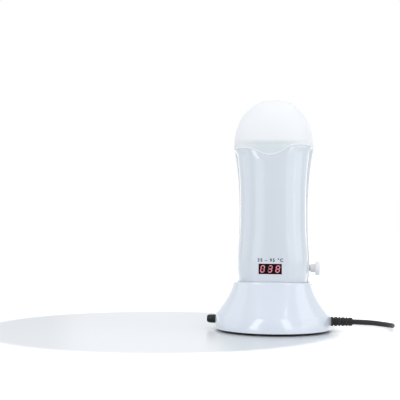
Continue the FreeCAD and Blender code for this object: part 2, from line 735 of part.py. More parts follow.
def rear_shell():
    outer = handset_form(0, 0.0)
    inner = handset_form(0, SHELL_WALL)
    below = seam_wave(-SEAM_GAP / 2)
    front = front_of(PARTING_Y)
    shell = outer.cut(inner).cut(front).common(below)
    envelope = outer.cut(front)
    for x, z in shell_screw_places():
        boss = rod(SHELL_BOSS_RADIUS, (x, PARTING_Y, z), (x, 2 * SHOULDER_D, z))
        shell = shell.fuse(boss.common(envelope))
    shell = shell.fuse(ledge().cut(front))
    z = knob_z()
    ring_x = pot_face_x() - POT_RING_LENGTH
    far = (2 * BULGE_W, KNOB_Y, z)
    ring = rod(POT_RADIUS + LOOSE_GAP + POT_RING_WALL, (ring_x, KNOB_Y, z), far)
    shell = shell.fuse(ring.common(envelope))
    shell = shell.cut(rod(POT_RADIUS + LOOSE_GAP, (ring_x - 1, KNOB_Y, z), (pot_face_x(), KNOB_Y, z)))
    shell = shell.cut(rod(SHAFT_RADIUS + LOOSE_GAP, (ring_x, KNOB_Y, z), far))
    for x, z in shell_screw_places():
        seat = (x, SHELL_SCREW_HEAD_Y, z)
        shell = shell.cut(rod(SCREW_RADIUS + SCREW_GAP, (x, PARTING_Y - 1, z), seat))
        shell = shell.cut(rod(SCREW_HEAD_RADIUS + LOOSE_GAP, seat, (x, 2 * SHOULDER_D, z)))
    return shell


def shell_screws():
    pieces = []
    for x, z in shell_screw_places():
        head = (x, SHELL_SCREW_HEAD_Y, z)
        tip = (x, SHELL_SCREW_HEAD_Y - SHELL_SCREW_LENGTH, z)
        pieces.append(screw(head, tip, SCREW_RADIUS, SCREW_HEAD_RADIUS, SCREW_HEAD_THICKNESS))
    return Part.makeCompound(pieces)


def foot_plate():
    low = FOOT_Z
    top = FOOT_Z + FOOT_PLATE_THICKNESS
    plate = oval_slab(FOOT_W, FOOT_D, FOOT_POWER, low, top)
    inset_w = PANEL_STEP + SHELL_WALL + LOOSE_GAP
    inset_d = SHELL_WALL + LOOSE_GAP
    ring_w = FOOT_W - inset_w
    ring_d = FOOT_D - inset_d
    ring_top = top + FOOT_RING_HEIGHT
    ring = oval_slab(ring_w, ring_d, FOOT_POWER, top, ring_top)
    hollow = oval_slab(ring_w - FOOT_RING_WALL, ring_d - FOOT_RING_WALL, FOOT_POWER, top, ring_top + 1)
    plate = plate.fuse(ring.cut(hollow))
    for x, y in dock_pin_places():
        plate = plate.cut(rod(DOCK_PIN_RADIUS + 2 * LOOSE_GAP, (x, y, low - 1), (x, y, top + 1)))
    return plate


# ---- display and control board ----
def display_module():
    half_w = DISPLAY_WIDTH / 2
    half_h = DISPLAY_HEIGHT / 2
    z = display_z()
    return block(-half_w, half_w, display_face_y(), board_y(), z - half_h, z + half_h)


def segment(x0, z0, x1, z1):
    """One bar of a digit, pointed at both ends, leaning to the right as it goes up."""
    half = DIGIT_STROKE / 2
    along = V(x1 - x0, 0, z1 - z0).normalize()
    side = V(-along.z, 0, along.x)
    start = V(x0, 0, z0) + along * SEGMENT_GAP
    end = V(x1, 0, z1) - along * SEGMENT_GAP
    outline = [
        start,
        start + along * half + side * half,
        end - along * half + side * half,
        end,
        end - along * half - side * half,
        start + along * half - side * half,
    ]
    lean = math.tan(math.radians(DIGIT_SLANT))
    points = [V(p.x + p.z * lean, display_face_y(), p.z + display_z()) for p in outline]
    face = Part.Face(Part.makePolygon(points + points[:1]))
    return face.extrude(V(0, -SEGMENT_THICKNESS, 0))


def digit_bars(centre_x):
    """The seven bars of one digit in the usual order: top, upper right, and so on round, middle last."""
    w = (DIGIT_WIDTH - DIGIT_STROKE) / 2
    h = (DIGIT_HEIGHT - DIGIT_STROKE) / 2
    ends = (
        (-w, h, w, h),
        (w, 0, w, h),
        (w, -h, w, 0),
        (-w, -h, w, -h),
        (-w, -h, -w, 0),
        (-w, 0, -w, h),
        (-w, 0, w, 0),
    )
    return [segment(centre_x + x0, z0, centre_x + x1, z1) for x0, z0, x1, z1 in ends]


LIT_BARS = ((0, 1, 2, 3, 4, 5), (0, 1, 2, 3, 6), (0, 1, 2, 3, 4, 5, 6))


def display_segments(lit):
    pieces = []
    for place, bars_on in enumerate(LIT_BARS):
        bars = digit_bars((place - 1) * DIGIT_PITCH)
        pieces.extend(bar for k, bar in enumerate(bars) if (k in bars_on) == lit)
    return Part.makeCompound(pieces)


def control_board():
    half_w = BOARD_WIDTH / 2
    half_h = BOARD_HEIGHT / 2
    z = display_z()
    board = block(-half_w, half_w, board_y(), board_y() + BOARD_THICKNESS, z - half_h, z + half_h)
    for x, hole_z in board_screw_places():
        back = board_y() + BOARD_THICKNESS + 1
        board = board.cut(rod(BOARD_SCREW_RADIUS + LOOSE_GAP, (x, board_y() - 1, hole_z), (x, back, hole_z)))
    chip_y = board_y() + BOARD_THICKNESS
    chip = block(-5.0, 5.0, chip_y, chip_y + 2.0, z - 4.0, z + 4.0)
    relay = block(-16.0, -8.0, chip_y, chip_y + 7.0, z - 5.0, z + 5.0)
    return board.fuse(chip).fuse(relay)


def board_screws():
    pieces = []
    back = board_y() + BOARD_THICKNESS
    for x, z in board_screw_places():
        head = (x, back, z)
        tip = (x, back - BOARD_SCREW_LENGTH, z)
        pieces.append(screw(head, tip, BOARD_SCREW_RADIUS, BOARD_SCREW_HEAD, SCREW_HEAD_THICKNESS))
    return Part.makeCompound(pieces)


# ---- temperature knob and potentiometer ----
def potentiometer():
    z = knob_z()
    face = pot_face_x()
    can = rod(POT_RADIUS, (face - POT_LENGTH, KNOB_Y, z), (face, KNOB_Y, z))
    bore = rod(SHAFT_RADIUS + RUNNING_GAP, (face - POT_LENGTH * 0.6, KNOB_Y, z), (face + 1, KNOB_Y, z))
    return can.cut(bore)


def knob_x():
    return form(knob_z())[0] + KNOB_GAP


def knob_shaft():
    z = knob_z()
    low = pot_face_x() - POT_LENGTH * 0.5
    return rod(SHAFT_RADIUS, (low, KNOB_Y, z), (knob_x() + SHAFT_IN_KNOB, KNOB_Y, z))


def temperature_knob():
    z = knob_z()
    disc_x = knob_x() + KNOB_NECK_LENGTH
    end_x = disc_x + KNOB_DISC_THICKNESS
    disc = rod(KNOB_DISC_RADIUS, (disc_x, KNOB_Y, z), (end_x, KNOB_Y, z))
    rim = [edge for edge in disc.Edges if abs(abs(edge.CenterOfMass.x) - disc_x) < 0.01]
    rim += [edge for edge in disc.Edges if abs(abs(edge.CenterOfMass.x) - end_x) < 0.01]
    disc = disc.makeChamfer(KNOB_EDGE, rim)
    for k in range(KNOB_FLUTES):
        turn = 2 * math.pi * k / KNOB_FLUTES
        reach = KNOB_DISC_RADIUS + KNOB_FLUTE_RADIUS * 0.4
        y = KNOB_Y + reach * math.cos(turn)
        flute_z = z + reach * math.sin(turn)
        disc = disc.cut(rod(KNOB_FLUTE_RADIUS, (disc_x - 1, y, flute_z), (end_x + 1, y, flute_z)))
    knob = disc.fuse(rod(KNOB_NECK_RADIUS, (knob_x(), KNOB_Y, z), (disc_x, KNOB_Y, z)))
    bore_end = (knob_x() + SHAFT_IN_KNOB, KNOB_Y, z)
    return knob.cut(rod(SHAFT_RADIUS + PRESS_GAP, (knob_x() - 1, KNOB_Y, z), bore_end))


# ---- heating chamber ----
def flange_z():
    return COLLAR_TOP_Z - COLLAR_TOP - CHAMBER_FLANGE_THICKNESS


def heating_chamber():
    top = COLLAR_TOP_Z - COLLAR_TOP
    outer = slab(CHAMBER_OUT_W, CHAMBER_OUT_D, CHAMBER_OUT_R, CHAMBER_Z, top)
    flange = slab(
        CHAMBER_OUT_W + CHAMBER_FLANGE,
        CHAMBER_OUT_D + CHAMBER_FLANGE,
        CHAMBER_OUT_R + CHAMBER_FLANGE,
        flange_z(),
        top,
    )
    inner = slab(CHAMBER_IN_W, CHAMBER_IN_D, CHAMBER_IN_R, CHAMBER_Z + CHAMBER_FLOOR, top + 1)
    return outer.fuse(flange).cut(inner)


def chamber_cradle():
    top = CHAMBER_Z
    low = cradle_z()
    half_w, half_d, power = form(low)
    inset_w = PANEL_STEP + SHELL_WALL + LOOSE_GAP
    inset_d = SHELL_WALL + LOOSE_GAP
    plate = oval_slab(half_w - inset_w, half_d - inset_d, power, low, top)
    rim_w = CHAMBER_OUT_W + LOOSE_GAP
    rim_d = CHAMBER_OUT_D + LOOSE_GAP
    rim_r = CHAMBER_OUT_R + LOOSE_GAP
    rim = slab(rim_w + CRADLE_RIM, rim_d + CRADLE_RIM, rim_r + CRADLE_RIM, top, top + CRADLE_RIM_HEIGHT)
    rim = rim.cut(slab(rim_w, rim_d, rim_r, top, top + CRADLE_RIM_HEIGHT + 1))
    cradle = plate.fuse(rim)
    slot_y = CHAMBER_OUT_D + CRADLE_RIM + 2 * LOOSE_GAP
    half = CRADLE_SLOT_WIDTH / 2
    return cradle.cut(block(-half, half, slot_y, slot_y + CRADLE_SLOT_DEPTH, low - 1, top + 1))


def collar_half_w():
    low = COLLAR_TOP_Z - COLLAR_SKIRT
    return form(low)[0] - panel_step(low) - SHELL_WALL - LOOSE_GAP


def collar_half_d():
    in_shell = form(COLLAR_TOP_Z - COLLAR_SKIRT)[1] - SHELL_WALL - LOOSE_GAP
    in_cap = form(SEAM_Z - SEAM_DIP)[1] - SKIRT_TUCK - CAP_WALL - LOOSE_GAP
    return min(in_shell, in_cap)


def chamber_collar():
    low = COLLAR_TOP_Z - COLLAR_SKIRT
    half_w = collar_half_w()
    half_d = collar_half_d()
    outer = oval_slab(half_w, half_d, SHOULDER_POWER, low, COLLAR_TOP_Z)
    ceiling = COLLAR_TOP_Z - COLLAR_TOP
    hollow = oval_slab(half_w - COLLAR_WALL, half_d - COLLAR_WALL, SHOULDER_POWER, low - 1, ceiling)
    mouth = slab(CHAMBER_IN_W, CHAMBER_IN_D, CHAMBER_IN_R, low, COLLAR_TOP_Z + 1)
    return outer.cut(hollow).cut(mouth)


def heater_z():
    return CHAMBER_Z + HEATER_ABOVE_FLOOR


def heater_plate():
    half = HEATER_WIDTH / 2
    low = heater_z()
    return block(-half, half, CHAMBER_OUT_D, CHAMBER_OUT_D + HEATER_THICKNESS, low, low + HEATER_LENGTH)


def heater_band():
    """Spring band round the chamber that presses the heater on its back."""
    half_w = CHAMBER_OUT_W + RUNNING_GAP
    half_d = CHAMBER_OUT_D + HEATER_THICKNESS / 2 + RUNNING_GAP
    corner = CHAMBER_OUT_R + RUNNING_GAP
    centre_y = HEATER_THICKNESS / 2
    low = heater_z() + (HEATER_LENGTH - BAND_HEIGHT) / 2
    top = low + BAND_HEIGHT
    t = BAND_THICKNESS
    outer = slab(half_w + t, half_d + t, corner + t, low, top, centre_y)
    return outer.cut(slab(half_w, half_d, corner, low - 1, top + 1, centre_y))


def thermostat():
    z = CHAMBER_Z + THERMOSTAT_ABOVE_FLOOR
    disc = rod(THERMOSTAT_RADIUS, (0, -CHAMBER_OUT_D, z), (0, -CHAMBER_OUT_D - THERMOSTAT_DEPTH, z))
    half_w = THERMOSTAT_EAR_WIDTH / 2
    half_h = THERMOSTAT_EAR_HEIGHT / 2
    front = -CHAMBER_OUT_D - THERMOSTAT_EAR_THICKNESS
    return disc.fuse(block(-half_w, half_w, front, -CHAMBER_OUT_D, z - half_h, z + half_h))


def fuse_place():
    y = CHAMBER_OUT_D + FUSE_RADIUS
    z = heater_z() + HEATER_LENGTH + FUSE_ABOVE_HEATER
    return y, z


def thermal_fuse():
    y, z = fuse_place()
    return rod(FUSE_RADIUS, (-FUSE_LENGTH / 2, y, z), (FUSE_LENGTH / 2, y, z))


def fuse_clip():
    """Spot-welded strap that goes over the fuse and presses it on the back of the chamber."""
    y, z = fuse_place()
    half = FUSE_CLIP_WIDTH / 2
    bore = FUSE_RADIUS + PRESS_GAP
    reach = bore + FUSE_CLIP_WALL
    arch = rod(reach, (-half, y, z), (half, y, z))
    arch = arch.common(block(-half, half, CHAMBER_OUT_D, y + reach, z - reach, z + reach))
    flange_top = CHAMBER_OUT_D + FUSE_CLIP_WALL
    flange_z = reach + FUSE_CLIP_FLANGE
    clip = arch.fuse(block(-half, half, CHAMBER_OUT_D, flange_top, z - flange_z, z + flange_z))
    return clip.cut(rod(bore, (-half - 1, y, z), (half + 1, y, z)))


# ---- dome cap ----
def dome_solid(low, wall):
    """Closed dome from height low to the crown, drawn in by wall and, below the shoulder, by the tuck."""
    wires = []
    for z in spaced(low, COLLAR_TOP_Z, 4)[:-1]:
        half_w, half_d, power = form(z)
        tuck = SKIRT_TUCK * (COLLAR_TOP_Z - z) / (COLLAR_TOP_Z - low)
        wires.append(oval(half_w - wall, half_d - wall - tuck, power, z))
    rise = COLLAR_TOP_Z - SHOULDER_Z
    height = DOME_HEIGHT - wall
    start = math.asin((rise / height) ** (DOME_POWER / 2))
    for turn in spaced(start, math.radians(87.5), 8):
        z = SHOULDER_Z + height * math.sin(turn) ** (2 / DOME_POWER)
        half_w, half_d, power = dome_form(z, wall)
        wires.append(oval(half_w, half_d, power, z))
    return Part.makeLoft(wires, True)


def cap_ribs():
    """Three ribs inside the cap that stand on top of the collar and reach down beside it."""
    half = CAP_RIB_THICKNESS / 2
    low = COLLAR_TOP_Z - CAP_RIB_SKIRT
    top = COLLAR_TOP_Z + CAP_RIB_HEIGHT
    far_w = collar_half_w() + CAP_RIB_GAP
    far_d = collar_half_d() + CAP_RIB_GAP
    near_w = collar_half_w() - CAP_RIB_OVERLAP
    near_d = collar_half_d() - CAP_RIB_OVERLAP
    ribs = []
    for side in (-1, 1):
        foot_x = sorted((side * far_w, side * SHOULDER_W))
        top_x = sorted((side * near_w, side * SHOULDER_W))
        ribs.append(block(foot_x[0], foot_x[1], -half, half, low, top))
        ribs.append(block(top_x[0], top_x[1], -half, half, COLLAR_TOP_Z, top))
    ribs.append(block(-half, half, far_d, SHOULDER_D, low, top))
    ribs.append(block(-half, half, near_d, SHOULDER_D, COLLAR_TOP_Z, top))
    return fused(ribs)


def dome_cap():
    low = SEAM_Z - SEAM_DIP - 2.0
    outer = dome_solid(low, 0.0)
    inner = dome_solid(low, CAP_WALL)
    cap = outer.cut(inner).fuse(cap_ribs().common(outer))
    return cap.cut(seam_wave(SEAM_GAP / 2))


# ---- cord ----
def relief_end_x():
    return BASE_RADIUS + 0.1 + RELIEF_LENGTH


def strain_relief():
    """Ribbed rubber sleeve moulded on the cord, keyed in the wall of the base by a neck and a flange."""
    start_x = BASE_RADIUS + 0.1
    pitch = RELIEF_LENGTH / RELIEF_RIBS
    points = [V(start_x, 0, 0)]
    for k in range(RELIEF_RIBS):
        outer = RELIEF_RADIUS + (RELIEF_END_RADIUS - RELIEF_RADIUS) * k / (RELIEF_RIBS - 1)
        x = start_x + k * pitch
        points.append(V(x, 0, outer))
        points.append(V(x + pitch * 0.62, 0, outer))
        if k < RELIEF_RIBS - 1:
            points.append(V(x + pitch * 0.74, 0, outer - RELIEF_GROOVE))
            points.append(V(x + pitch * 0.94, 0, outer - RELIEF_GROOVE))
    points.append(V(relief_end_x(), 0, RELIEF_END_RADIUS - 0.5))
    points.append(V(relief_end_x(), 0, 0))
    face = Part.Face(Part.makePolygon(points + points[:1]))
    sleeve = face.revolve(V(0, 0, 0), V(1, 0, 0), 360)
    sleeve.translate(V(0, 0, SIDE_AXIS_Z))
    wall_x = math.sqrt((BASE_RADIUS - BASE_WALL - BASE_SIDE_LEAN) ** 2 - RELIEF_FLANGE_RADIUS ** 2) - 0.1
    neck = rod(RELIEF_NECK_RADIUS, (wall_x, 0, SIDE_AXIS_Z), (start_x, 0, SIDE_AXIS_Z))
    flange_x = wall_x - RELIEF_FLANGE_THICKNESS
    flange = rod(RELIEF_FLANGE_RADIUS, (flange_x, 0, SIDE_AXIS_Z), (wall_x, 0, SIDE_AXIS_Z))
    return fused([sleeve, neck, flange]), flange_x


def inner_cord():
    end_x = strain_relief()[1]
    return rod(CORD_DIAMETER / 2, (end_x - INNER_CORD_LENGTH, 0, SIDE_AXIS_Z), (end_x, 0, SIDE_AXIS_Z))


def cord_clamp():
    low = clamp_bar_z()
    x0 = clamp_x() - CLAMP_BAR_WIDTH / 2
    x1 = clamp_x() + CLAMP_BAR_WIDTH / 2
    reach = CLAMP_SCREW_Y + BOSS_RADIUS
    bar = block(x0, x1, -reach, reach, low, low + CLAMP_BAR_THICKNESS)
    for x, y in clamp_screw_places():
        bar = bar.cut(rod(SCREW_RADIUS + LOOSE_GAP, (x, y, low - 1), (x, y, low + CLAMP_BAR_THICKNESS + 1)))
    return bar


def clamp_screws():
    pieces = []
    top = clamp_bar_z() + CLAMP_BAR_THICKNESS
    for x, y in clamp_screw_places():
        head = (x, y, top)
        tip = (x, y, top - CLAMP_SCREW_LENGTH)
        pieces.append(screw(head, tip, SCREW_RADIUS, SCREW_HEAD_RADIUS, SCREW_HEAD_THICKNESS))
    return Part.makeCompound(pieces)


def rounded_path(points):
    """Straight runs joined by tangent arcs, each as large as 0.45 of the shorter run beside it allows."""
    points = [V(*p) for p in points]
    edges = []
    radii = []
    start = points[0]
    for before, corner, after in zip(points, points[1:], points[2:]):
        inward = (corner - before).normalize()
        outward = (after - corner).normalize()
        turn = math.acos(max(-1.0, min(1.0, inward.dot(outward))))
        reach = 0.45 * min((corner - before).Length, (after - corner).Length)
        radius = reach / math.tan(turn / 2)
        arc_start = corner - inward * reach
        arc_end = corner + outward * reach
        bisector = (outward - inward).normalize()
        middle = corner + bisector * (radius / math.cos(turn / 2) - radius)
        edges.append(Part.LineSegment(start, arc_start).toShape())
        edges.append(Part.Arc(arc_start, middle, arc_end).toShape())
        radii.append(radius)
        start = arc_end
    edges.append(Part.LineSegment(start, points[-1]).toShape())
    return Part.Wire(edges), radii


def tube(points, radius, name=""):
    path, radii = rounded_path(points)
    start = V(*points[0])
    along = V(*points[1]) - start
    ring = Part.Wire([Part.makeCircle(radius, start, along)])
    solid = path.makePipeShell([ring], True, False)
    if name:
        expected = math.pi * radius ** 2 * path.Length
        shown = ", ".join(f"{r:.1f}" for r in radii)
        print(f"{name}: length {path.Length:.1f}, radii {shown}, volume share {solid.Volume / expected:.5f}")
    return solid


def coil_low_z():
    return TIE_THICKNESS + 2 * TIE_GAP


def coil_layer_z(layer):
    return coil_low_z() + CORD_DIAMETER * (layer + 0.5)


def lead_points():
    """The stretch from the strain relief round behind the base to the coil's lowest, outermost turn."""
    return (
        (relief_end_x(), 0.0, SIDE_AXIS_Z),
        (93.6, 0.0, SIDE_AXIS_Z),
        (113.5, 11.5, 6.5),
        (120.0, 35.5, 3.0),
        (107.5, 58.0, 2.7),
        (82.5, 67.5, 2.6),
        (54.0, 69.2, 2.6),
        (20.5, 66.4, 3.0),
        (COIL_CENTRE_X, COIL_CENTRE_Y - COIL_OUTER_TURN, coil_layer_z(0)),
    )


def tail_points():
    """The stretch from the coil's highest, outermost turn to the plug."""
    return (
        (COIL_CENTRE_X - COIL_OUTER_TURN, COIL_CENTRE_Y, coil_layer_z(COIL_LAYERS - 1)),
        (PLUG_X, 120.4, PLUG_AXIS_Z),
        (PLUG_X, PLUG_REAR_Y, PLUG_AXIS_Z),
    )


def cord_coil():
    outer = COIL_OUTER_TURN + CORD_DIAMETER / 2
    inner = COIL_INNER_TURN - CORD_DIAMETER / 2
    low = (COIL_CENTRE_X, COIL_CENTRE_Y, coil_low_z())
    top = (COIL_CENTRE_X, COIL_CENTRE_Y, coil_low_z() + COIL_LAYERS * CORD_DIAMETER)
    ring = rod(outer, low, top).cut(rod(inner, low, top))
    edges = [edge for edge in ring.Edges if isinstance(edge.Curve, Part.Circle)]
    return ring.makeFillet(CORD_DIAMETER * 0.4, edges)


def cord_tie():
    x0 = COIL_CENTRE_X + COIL_INNER_TURN - CORD_DIAMETER / 2 - 3 * TIE_GAP
    x1 = COIL_CENTRE_X + COIL_OUTER_TURN + CORD_DIAMETER / 2 + TIE_GAP
    z0 = coil_low_z() - TIE_GAP
    z1 = coil_low_z() + COIL_LAYERS * CORD_DIAMETER + TIE_GAP
    y0 = COIL_CENTRE_Y - TIE_WIDTH / 2
    y1 = COIL_CENTRE_Y + TIE_WIDTH / 2
    t = TIE_THICKNESS
    return block(x0 - t, x1 + t, y0, y1, z0 - t, z1 + t).cut(block(x0, x1, y0 - 1, y1 + 1, z0, z1))


def plug_section(share, half_w, half_t):
    wire = oval(half_w, half_t, 3.2, 0.0)
    wire.rotate(V(0, 0, 0), V(1, 0, 0), 90)
    wire.translate(V(PLUG_X, PLUG_REAR_Y + share * PLUG_LENGTH, PLUG_AXIS_Z))
    return wire


def plug_body():
    rear = plug_section(0.0, PLUG_REAR_WIDTH / 2, PLUG_REAR_THICKNESS / 2)
    neck = plug_section(0.3, PLUG_REAR_WIDTH / 2 + 1.5, PLUG_REAR_THICKNESS / 2 + 0.4)
    waist = plug_section(0.65, PLUG_WIDTH * 0.42, PLUG_THICKNESS / 2 - 0.3)
    front = plug_section(1.0, PLUG_WIDTH / 2, PLUG_THICKNESS / 2)
    return Part.makeLoft([rear, neck, waist, front], True)


def plug_pins():
    y = PLUG_REAR_Y + PLUG_LENGTH
    pieces = []
    for side in (-1, 1):
        x = PLUG_X + side * PLUG_PIN_SPACING / 2
        end = (x, y + PLUG_PIN_LENGTH - PLUG_PIN_RADIUS, PLUG_AXIS_Z)
        pin = rod(PLUG_PIN_RADIUS, (x, y, PLUG_AXIS_Z), end)
        pieces.append(pin.fuse(Part.makeSphere(PLUG_PIN_RADIUS, V(*end))))
    return Part.makeCompound(pieces)


# ---- inner wiring ----
def base_wires():
    cord_end = strain_relief()[1] - INNER_CORD_LENGTH
    switch_end = switch_face_x() + SWITCH_LENGTH
    dock_low = FOOT_Z - SOCKET_FLOOR - DOCK_BLOCK_HEIGHT
    pieces = [rod(WIRE_RADIUS, (switch_end, WIRE_APART, SIDE_AXIS_Z), (cord_end, WIRE_APART, SIDE_AXIS_Z))]
    for start, pin_x in ((cord_end, DOCK_PIN_X), (switch_end, -DOCK_PIN_X)):
        y = -WIRE_APART
        route = ((start, y, SIDE_AXIS_Z), (pin_x, y, SIDE_AXIS_Z), (pin_x, y, dock_low))
        pieces.append(tube(route, WIRE_RADIUS))
    return Part.makeCompound(pieces)


def handset_wires():
    pieces = []
    back = board_y() + BOARD_THICKNESS
    socket_top = FOOT_Z + FOOT_PLATE_THICKNESS + HANDSET_BLOCK_HEIGHT
    slot_y = CHAMBER_OUT_D + CRADLE_RIM + 2 * LOOSE_GAP + CRADLE_SLOT_DEPTH / 2
    bay_z = cradle_z() - WIRE_BELOW_CRADLE
    turn_z = shell_screw_z() + WIRE_ABOVE_SCREWS
    heater_y = CHAMBER_OUT_D + HEATER_THICKNESS / 2
    for side in (-1, 1):
        x = side * HEATER_WIRE_X
        up = ((x, 0.0, socket_top), (x, 0.0, turn_z), (x, back, turn_z))
        pieces.append(tube(up, WIRE_RADIUS))
        heater = (
            (x, back, bay_z),
            (x, slot_y, bay_z),
            (x, slot_y, heater_z() - HEATER_WIRE_RISE),
            (x, heater_y, heater_z() - 0.4 * HEATER_WIRE_RISE),
            (x, heater_y, heater_z()),
        )
        pieces.append(tube(heater, WIRE_RADIUS))
    return Part.makeCompound(pieces)


NODES = {
    "base_shell": base_shell,
    "base_plate": base_plate,
    "base_screws": base_screws,
    "foot_ring": foot_ring,
    "dock_connector": dock_connector,
    "dock_pins": dock_pins,
    "power_button": power_button,
    "power_switch": power_switch,
    "base_wires": base_wires,
    "strain_relief": lambda: strain_relief()[0],
    "inner_cord": inner_cord,
    "cord_clamp": cord_clamp,
    "clamp_screws": clamp_screws,
    "cord_lead": lambda: tube(lead_points(), CORD_DIAMETER / 2, "cord lead"),
    "cord_coil": cord_coil,
    "cord_tie": cord_tie,
    "cord_tail": lambda: tube(tail_points(), CORD_DIAMETER / 2, "cord tail"),
    "plug_body": plug_body,
    "plug_pins": plug_pins,
    "front_panel": front_panel,
    "rear_shell": rear_shell,
    "shell_screws": shell_screws,
    "foot_plate": foot_plate,
    "handset_socket": handset_socket,
    "handset_contacts": handset_contacts,
    "display_module": display_module,
    "display_lit_bars": lambda: display_segments(True),
    "display_dim_bars": lambda: display_segments(False),
    "control_board": control_board,
    "board_screws": board_screws,
    "potentiometer": potentiometer,
    "knob_shaft": knob_shaft,
    "temperature_knob": temperature_knob,
    "chamber_cradle": chamber_cradle,
    "heating_chamber": heating_chamber,
    "chamber_collar": chamber_collar,
    "heater_plate": heater_plate,
    "heater_band": heater_band,
    "thermostat": thermostat,
    "thermal_fuse": thermal_fuse,
    "fuse_clip": fuse_clip,
    "handset_wires": handset_wires,
    "dome_cap": dome_cap,
}

os.makedirs("parts", exist_ok=True)
for name, make in NODES.items():
    shape = make()
    shape.exportStep(f"parts/{name}.step")
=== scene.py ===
import math

import bmesh
import bpy
import numpy as np
from mathutils import Matrix, Quaternion, Vector


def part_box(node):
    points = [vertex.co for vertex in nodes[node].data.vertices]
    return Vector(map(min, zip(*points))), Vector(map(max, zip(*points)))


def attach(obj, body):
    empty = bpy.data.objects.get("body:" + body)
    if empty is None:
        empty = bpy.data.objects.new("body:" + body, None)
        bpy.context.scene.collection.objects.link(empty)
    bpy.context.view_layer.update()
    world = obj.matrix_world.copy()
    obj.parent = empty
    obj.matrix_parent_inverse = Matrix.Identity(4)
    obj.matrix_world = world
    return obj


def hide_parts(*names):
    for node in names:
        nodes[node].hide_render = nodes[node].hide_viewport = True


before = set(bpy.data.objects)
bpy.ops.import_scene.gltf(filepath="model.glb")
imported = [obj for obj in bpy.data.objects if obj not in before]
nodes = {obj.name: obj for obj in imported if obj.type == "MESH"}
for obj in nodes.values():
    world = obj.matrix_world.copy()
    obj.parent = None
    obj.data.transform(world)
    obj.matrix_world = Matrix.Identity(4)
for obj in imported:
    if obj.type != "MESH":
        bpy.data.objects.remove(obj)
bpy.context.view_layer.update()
scene = bpy.context.scene

# ---- Camera ----
# It stands 0.95 m in front of the heater, a little to its right and at half its height, turned to
# the left so that the heater stands right of the middle.
CAMERA_PLACE = Vector((0.094, -0.945, 0.110))
CAMERA_TURN = math.radians(10.135)
CAMERA_RISE = math.radians(1.185)
CAMERA_ROLL = math.radians(0.32)
IMAGE_WIDTH = 400
FOCAL_LENGTH = 944 / IMAGE_WIDTH
SENSOR_WIDTH = 36.0


def new_object(name, data):
    """Object that holds the data, linked to the scene."""
    piece = bpy.data.objects.new(name, data)
    scene.collection.objects.link(piece)
    return piece


camera = new_object("camera", bpy.data.cameras.new("camera"))
camera.data.sensor_width = SENSOR_WIDTH
camera.data.lens = SENSOR_WIDTH * FOCAL_LENGTH
looking = Vector((
    -math.sin(CAMERA_TURN) * math.cos(CAMERA_RISE),
    math.cos(CAMERA_TURN) * math.cos(CAMERA_RISE),
    math.sin(CAMERA_RISE),
))
camera.rotation_mode = "QUATERNION"
camera.rotation_quaternion = looking.to_track_quat("-Z", "Y") @ Quaternion((0, 0, 1), CAMERA_ROLL)
camera.location = CAMERA_PLACE
scene.camera = camera
scene.view_settings.view_transform = "Standard"

# ---- Studio ----
# A white tent. On each side of the camera stands a tall lamp, dim below and bright above, where it
# leans inwards; broad lamps light each flank and each rear corner, and one hangs overhead.
ROOM_LIGHT = 0.61
ROOM_COLOUR = (0.965, 0.98, 1.0, 1)
LAMP_DISTANCE = 0.95
LAMP_COLOUR = (0.98, 0.99, 1.0)
LAMPS = (
    # name, bearing, width, lower end, upper end, lean to the left, radiance
    ("left strip", -29.5, 0.45, 0.04, 0.28, 0.0, 0.75),
    ("right strip", 50.0, 0.66, 0.04, 0.28, 0.0, 0.75),
    ("left box", -28.0, 0.24, 0.20, 1.12, -9.5, 2.9),
    ("right box", 31.5, 0.24, 0.20, 1.12, 9.5, 2.3),
    ("left flank", -84.0, 0.70, 0.05, 1.00, 0.0, 0.5),
    ("right flank", 82.0, 0.70, 0.05, 1.00, 0.0, 1.0),
    ("left rim", -160.0, 0.35, 0.10, 0.60, 0.0, 0.4),
    ("right rim", 158.0, 0.40, 0.10, 0.60, 0.0, 0.6),
)
OVERHEAD_HEIGHT = 1.3
OVERHEAD_SIZE = 1.1
OVERHEAD_RADIANCE = 0.7
WHITE = (1, 1, 1, 1)


def area_lamp(name, place, target, width, height, radiance, lean=0.0):
    """Flat lamp that faces the target, turned by the lean in its own plane."""
    lamp = bpy.data.lights.new(name, "AREA")
    lamp.shape = "RECTANGLE"
    lamp.size = width
    lamp.size_y = height
    lamp.energy = radiance * math.pi * width * height
    lamp.color = LAMP_COLOUR
    holder = new_object(name, lamp)
    holder.location = place
    holder.rotation_mode = "QUATERNION"
    facing = (Vector(target) - Vector(place)).to_track_quat("-Z", "Y")
    holder.rotation_quaternion = facing @ Quaternion((0, 0, 1), math.radians(lean))


for name, bearing, width, low, high, lean, radiance in LAMPS:
    turn = math.radians(bearing)
    middle = (low + high) / 2
    place = (LAMP_DISTANCE * math.sin(turn), -LAMP_DISTANCE * math.cos(turn), middle)
    area_lamp(name, place, (0, 0, middle), width, high - low, radiance, lean)
area_lamp("overhead", (0, 0, OVERHEAD_HEIGHT), (0, 0, 0), OVERHEAD_SIZE, OVERHEAD_SIZE, OVERHEAD_RADIANCE)

world = bpy.data.worlds.new("room")
scene.world = world
world.use_nodes = True
room = world.node_tree
room.nodes.clear()
room_light = room.nodes.new("ShaderNodeBackground")
room_light.inputs["Color"].default_value = ROOM_COLOUR
room_light.inputs["Strength"].default_value = ROOM_LIGHT
room_seen = room.nodes.new("ShaderNodeBackground")
room_seen.inputs["Color"].default_value = WHITE
room_seen.inputs["Strength"].default_value = 1.0


def math_node(tree, operation, *sources):
    """Result of a Math node that takes the given sockets or numbers."""
    node = tree.nodes.new("ShaderNodeMath")
    node.operation = operation
    for socket, source in zip(node.inputs, sources):
        if isinstance(source, float):
            socket.default_value = source
        else:
            tree.links.new(source, socket)
    return node.outputs[0]


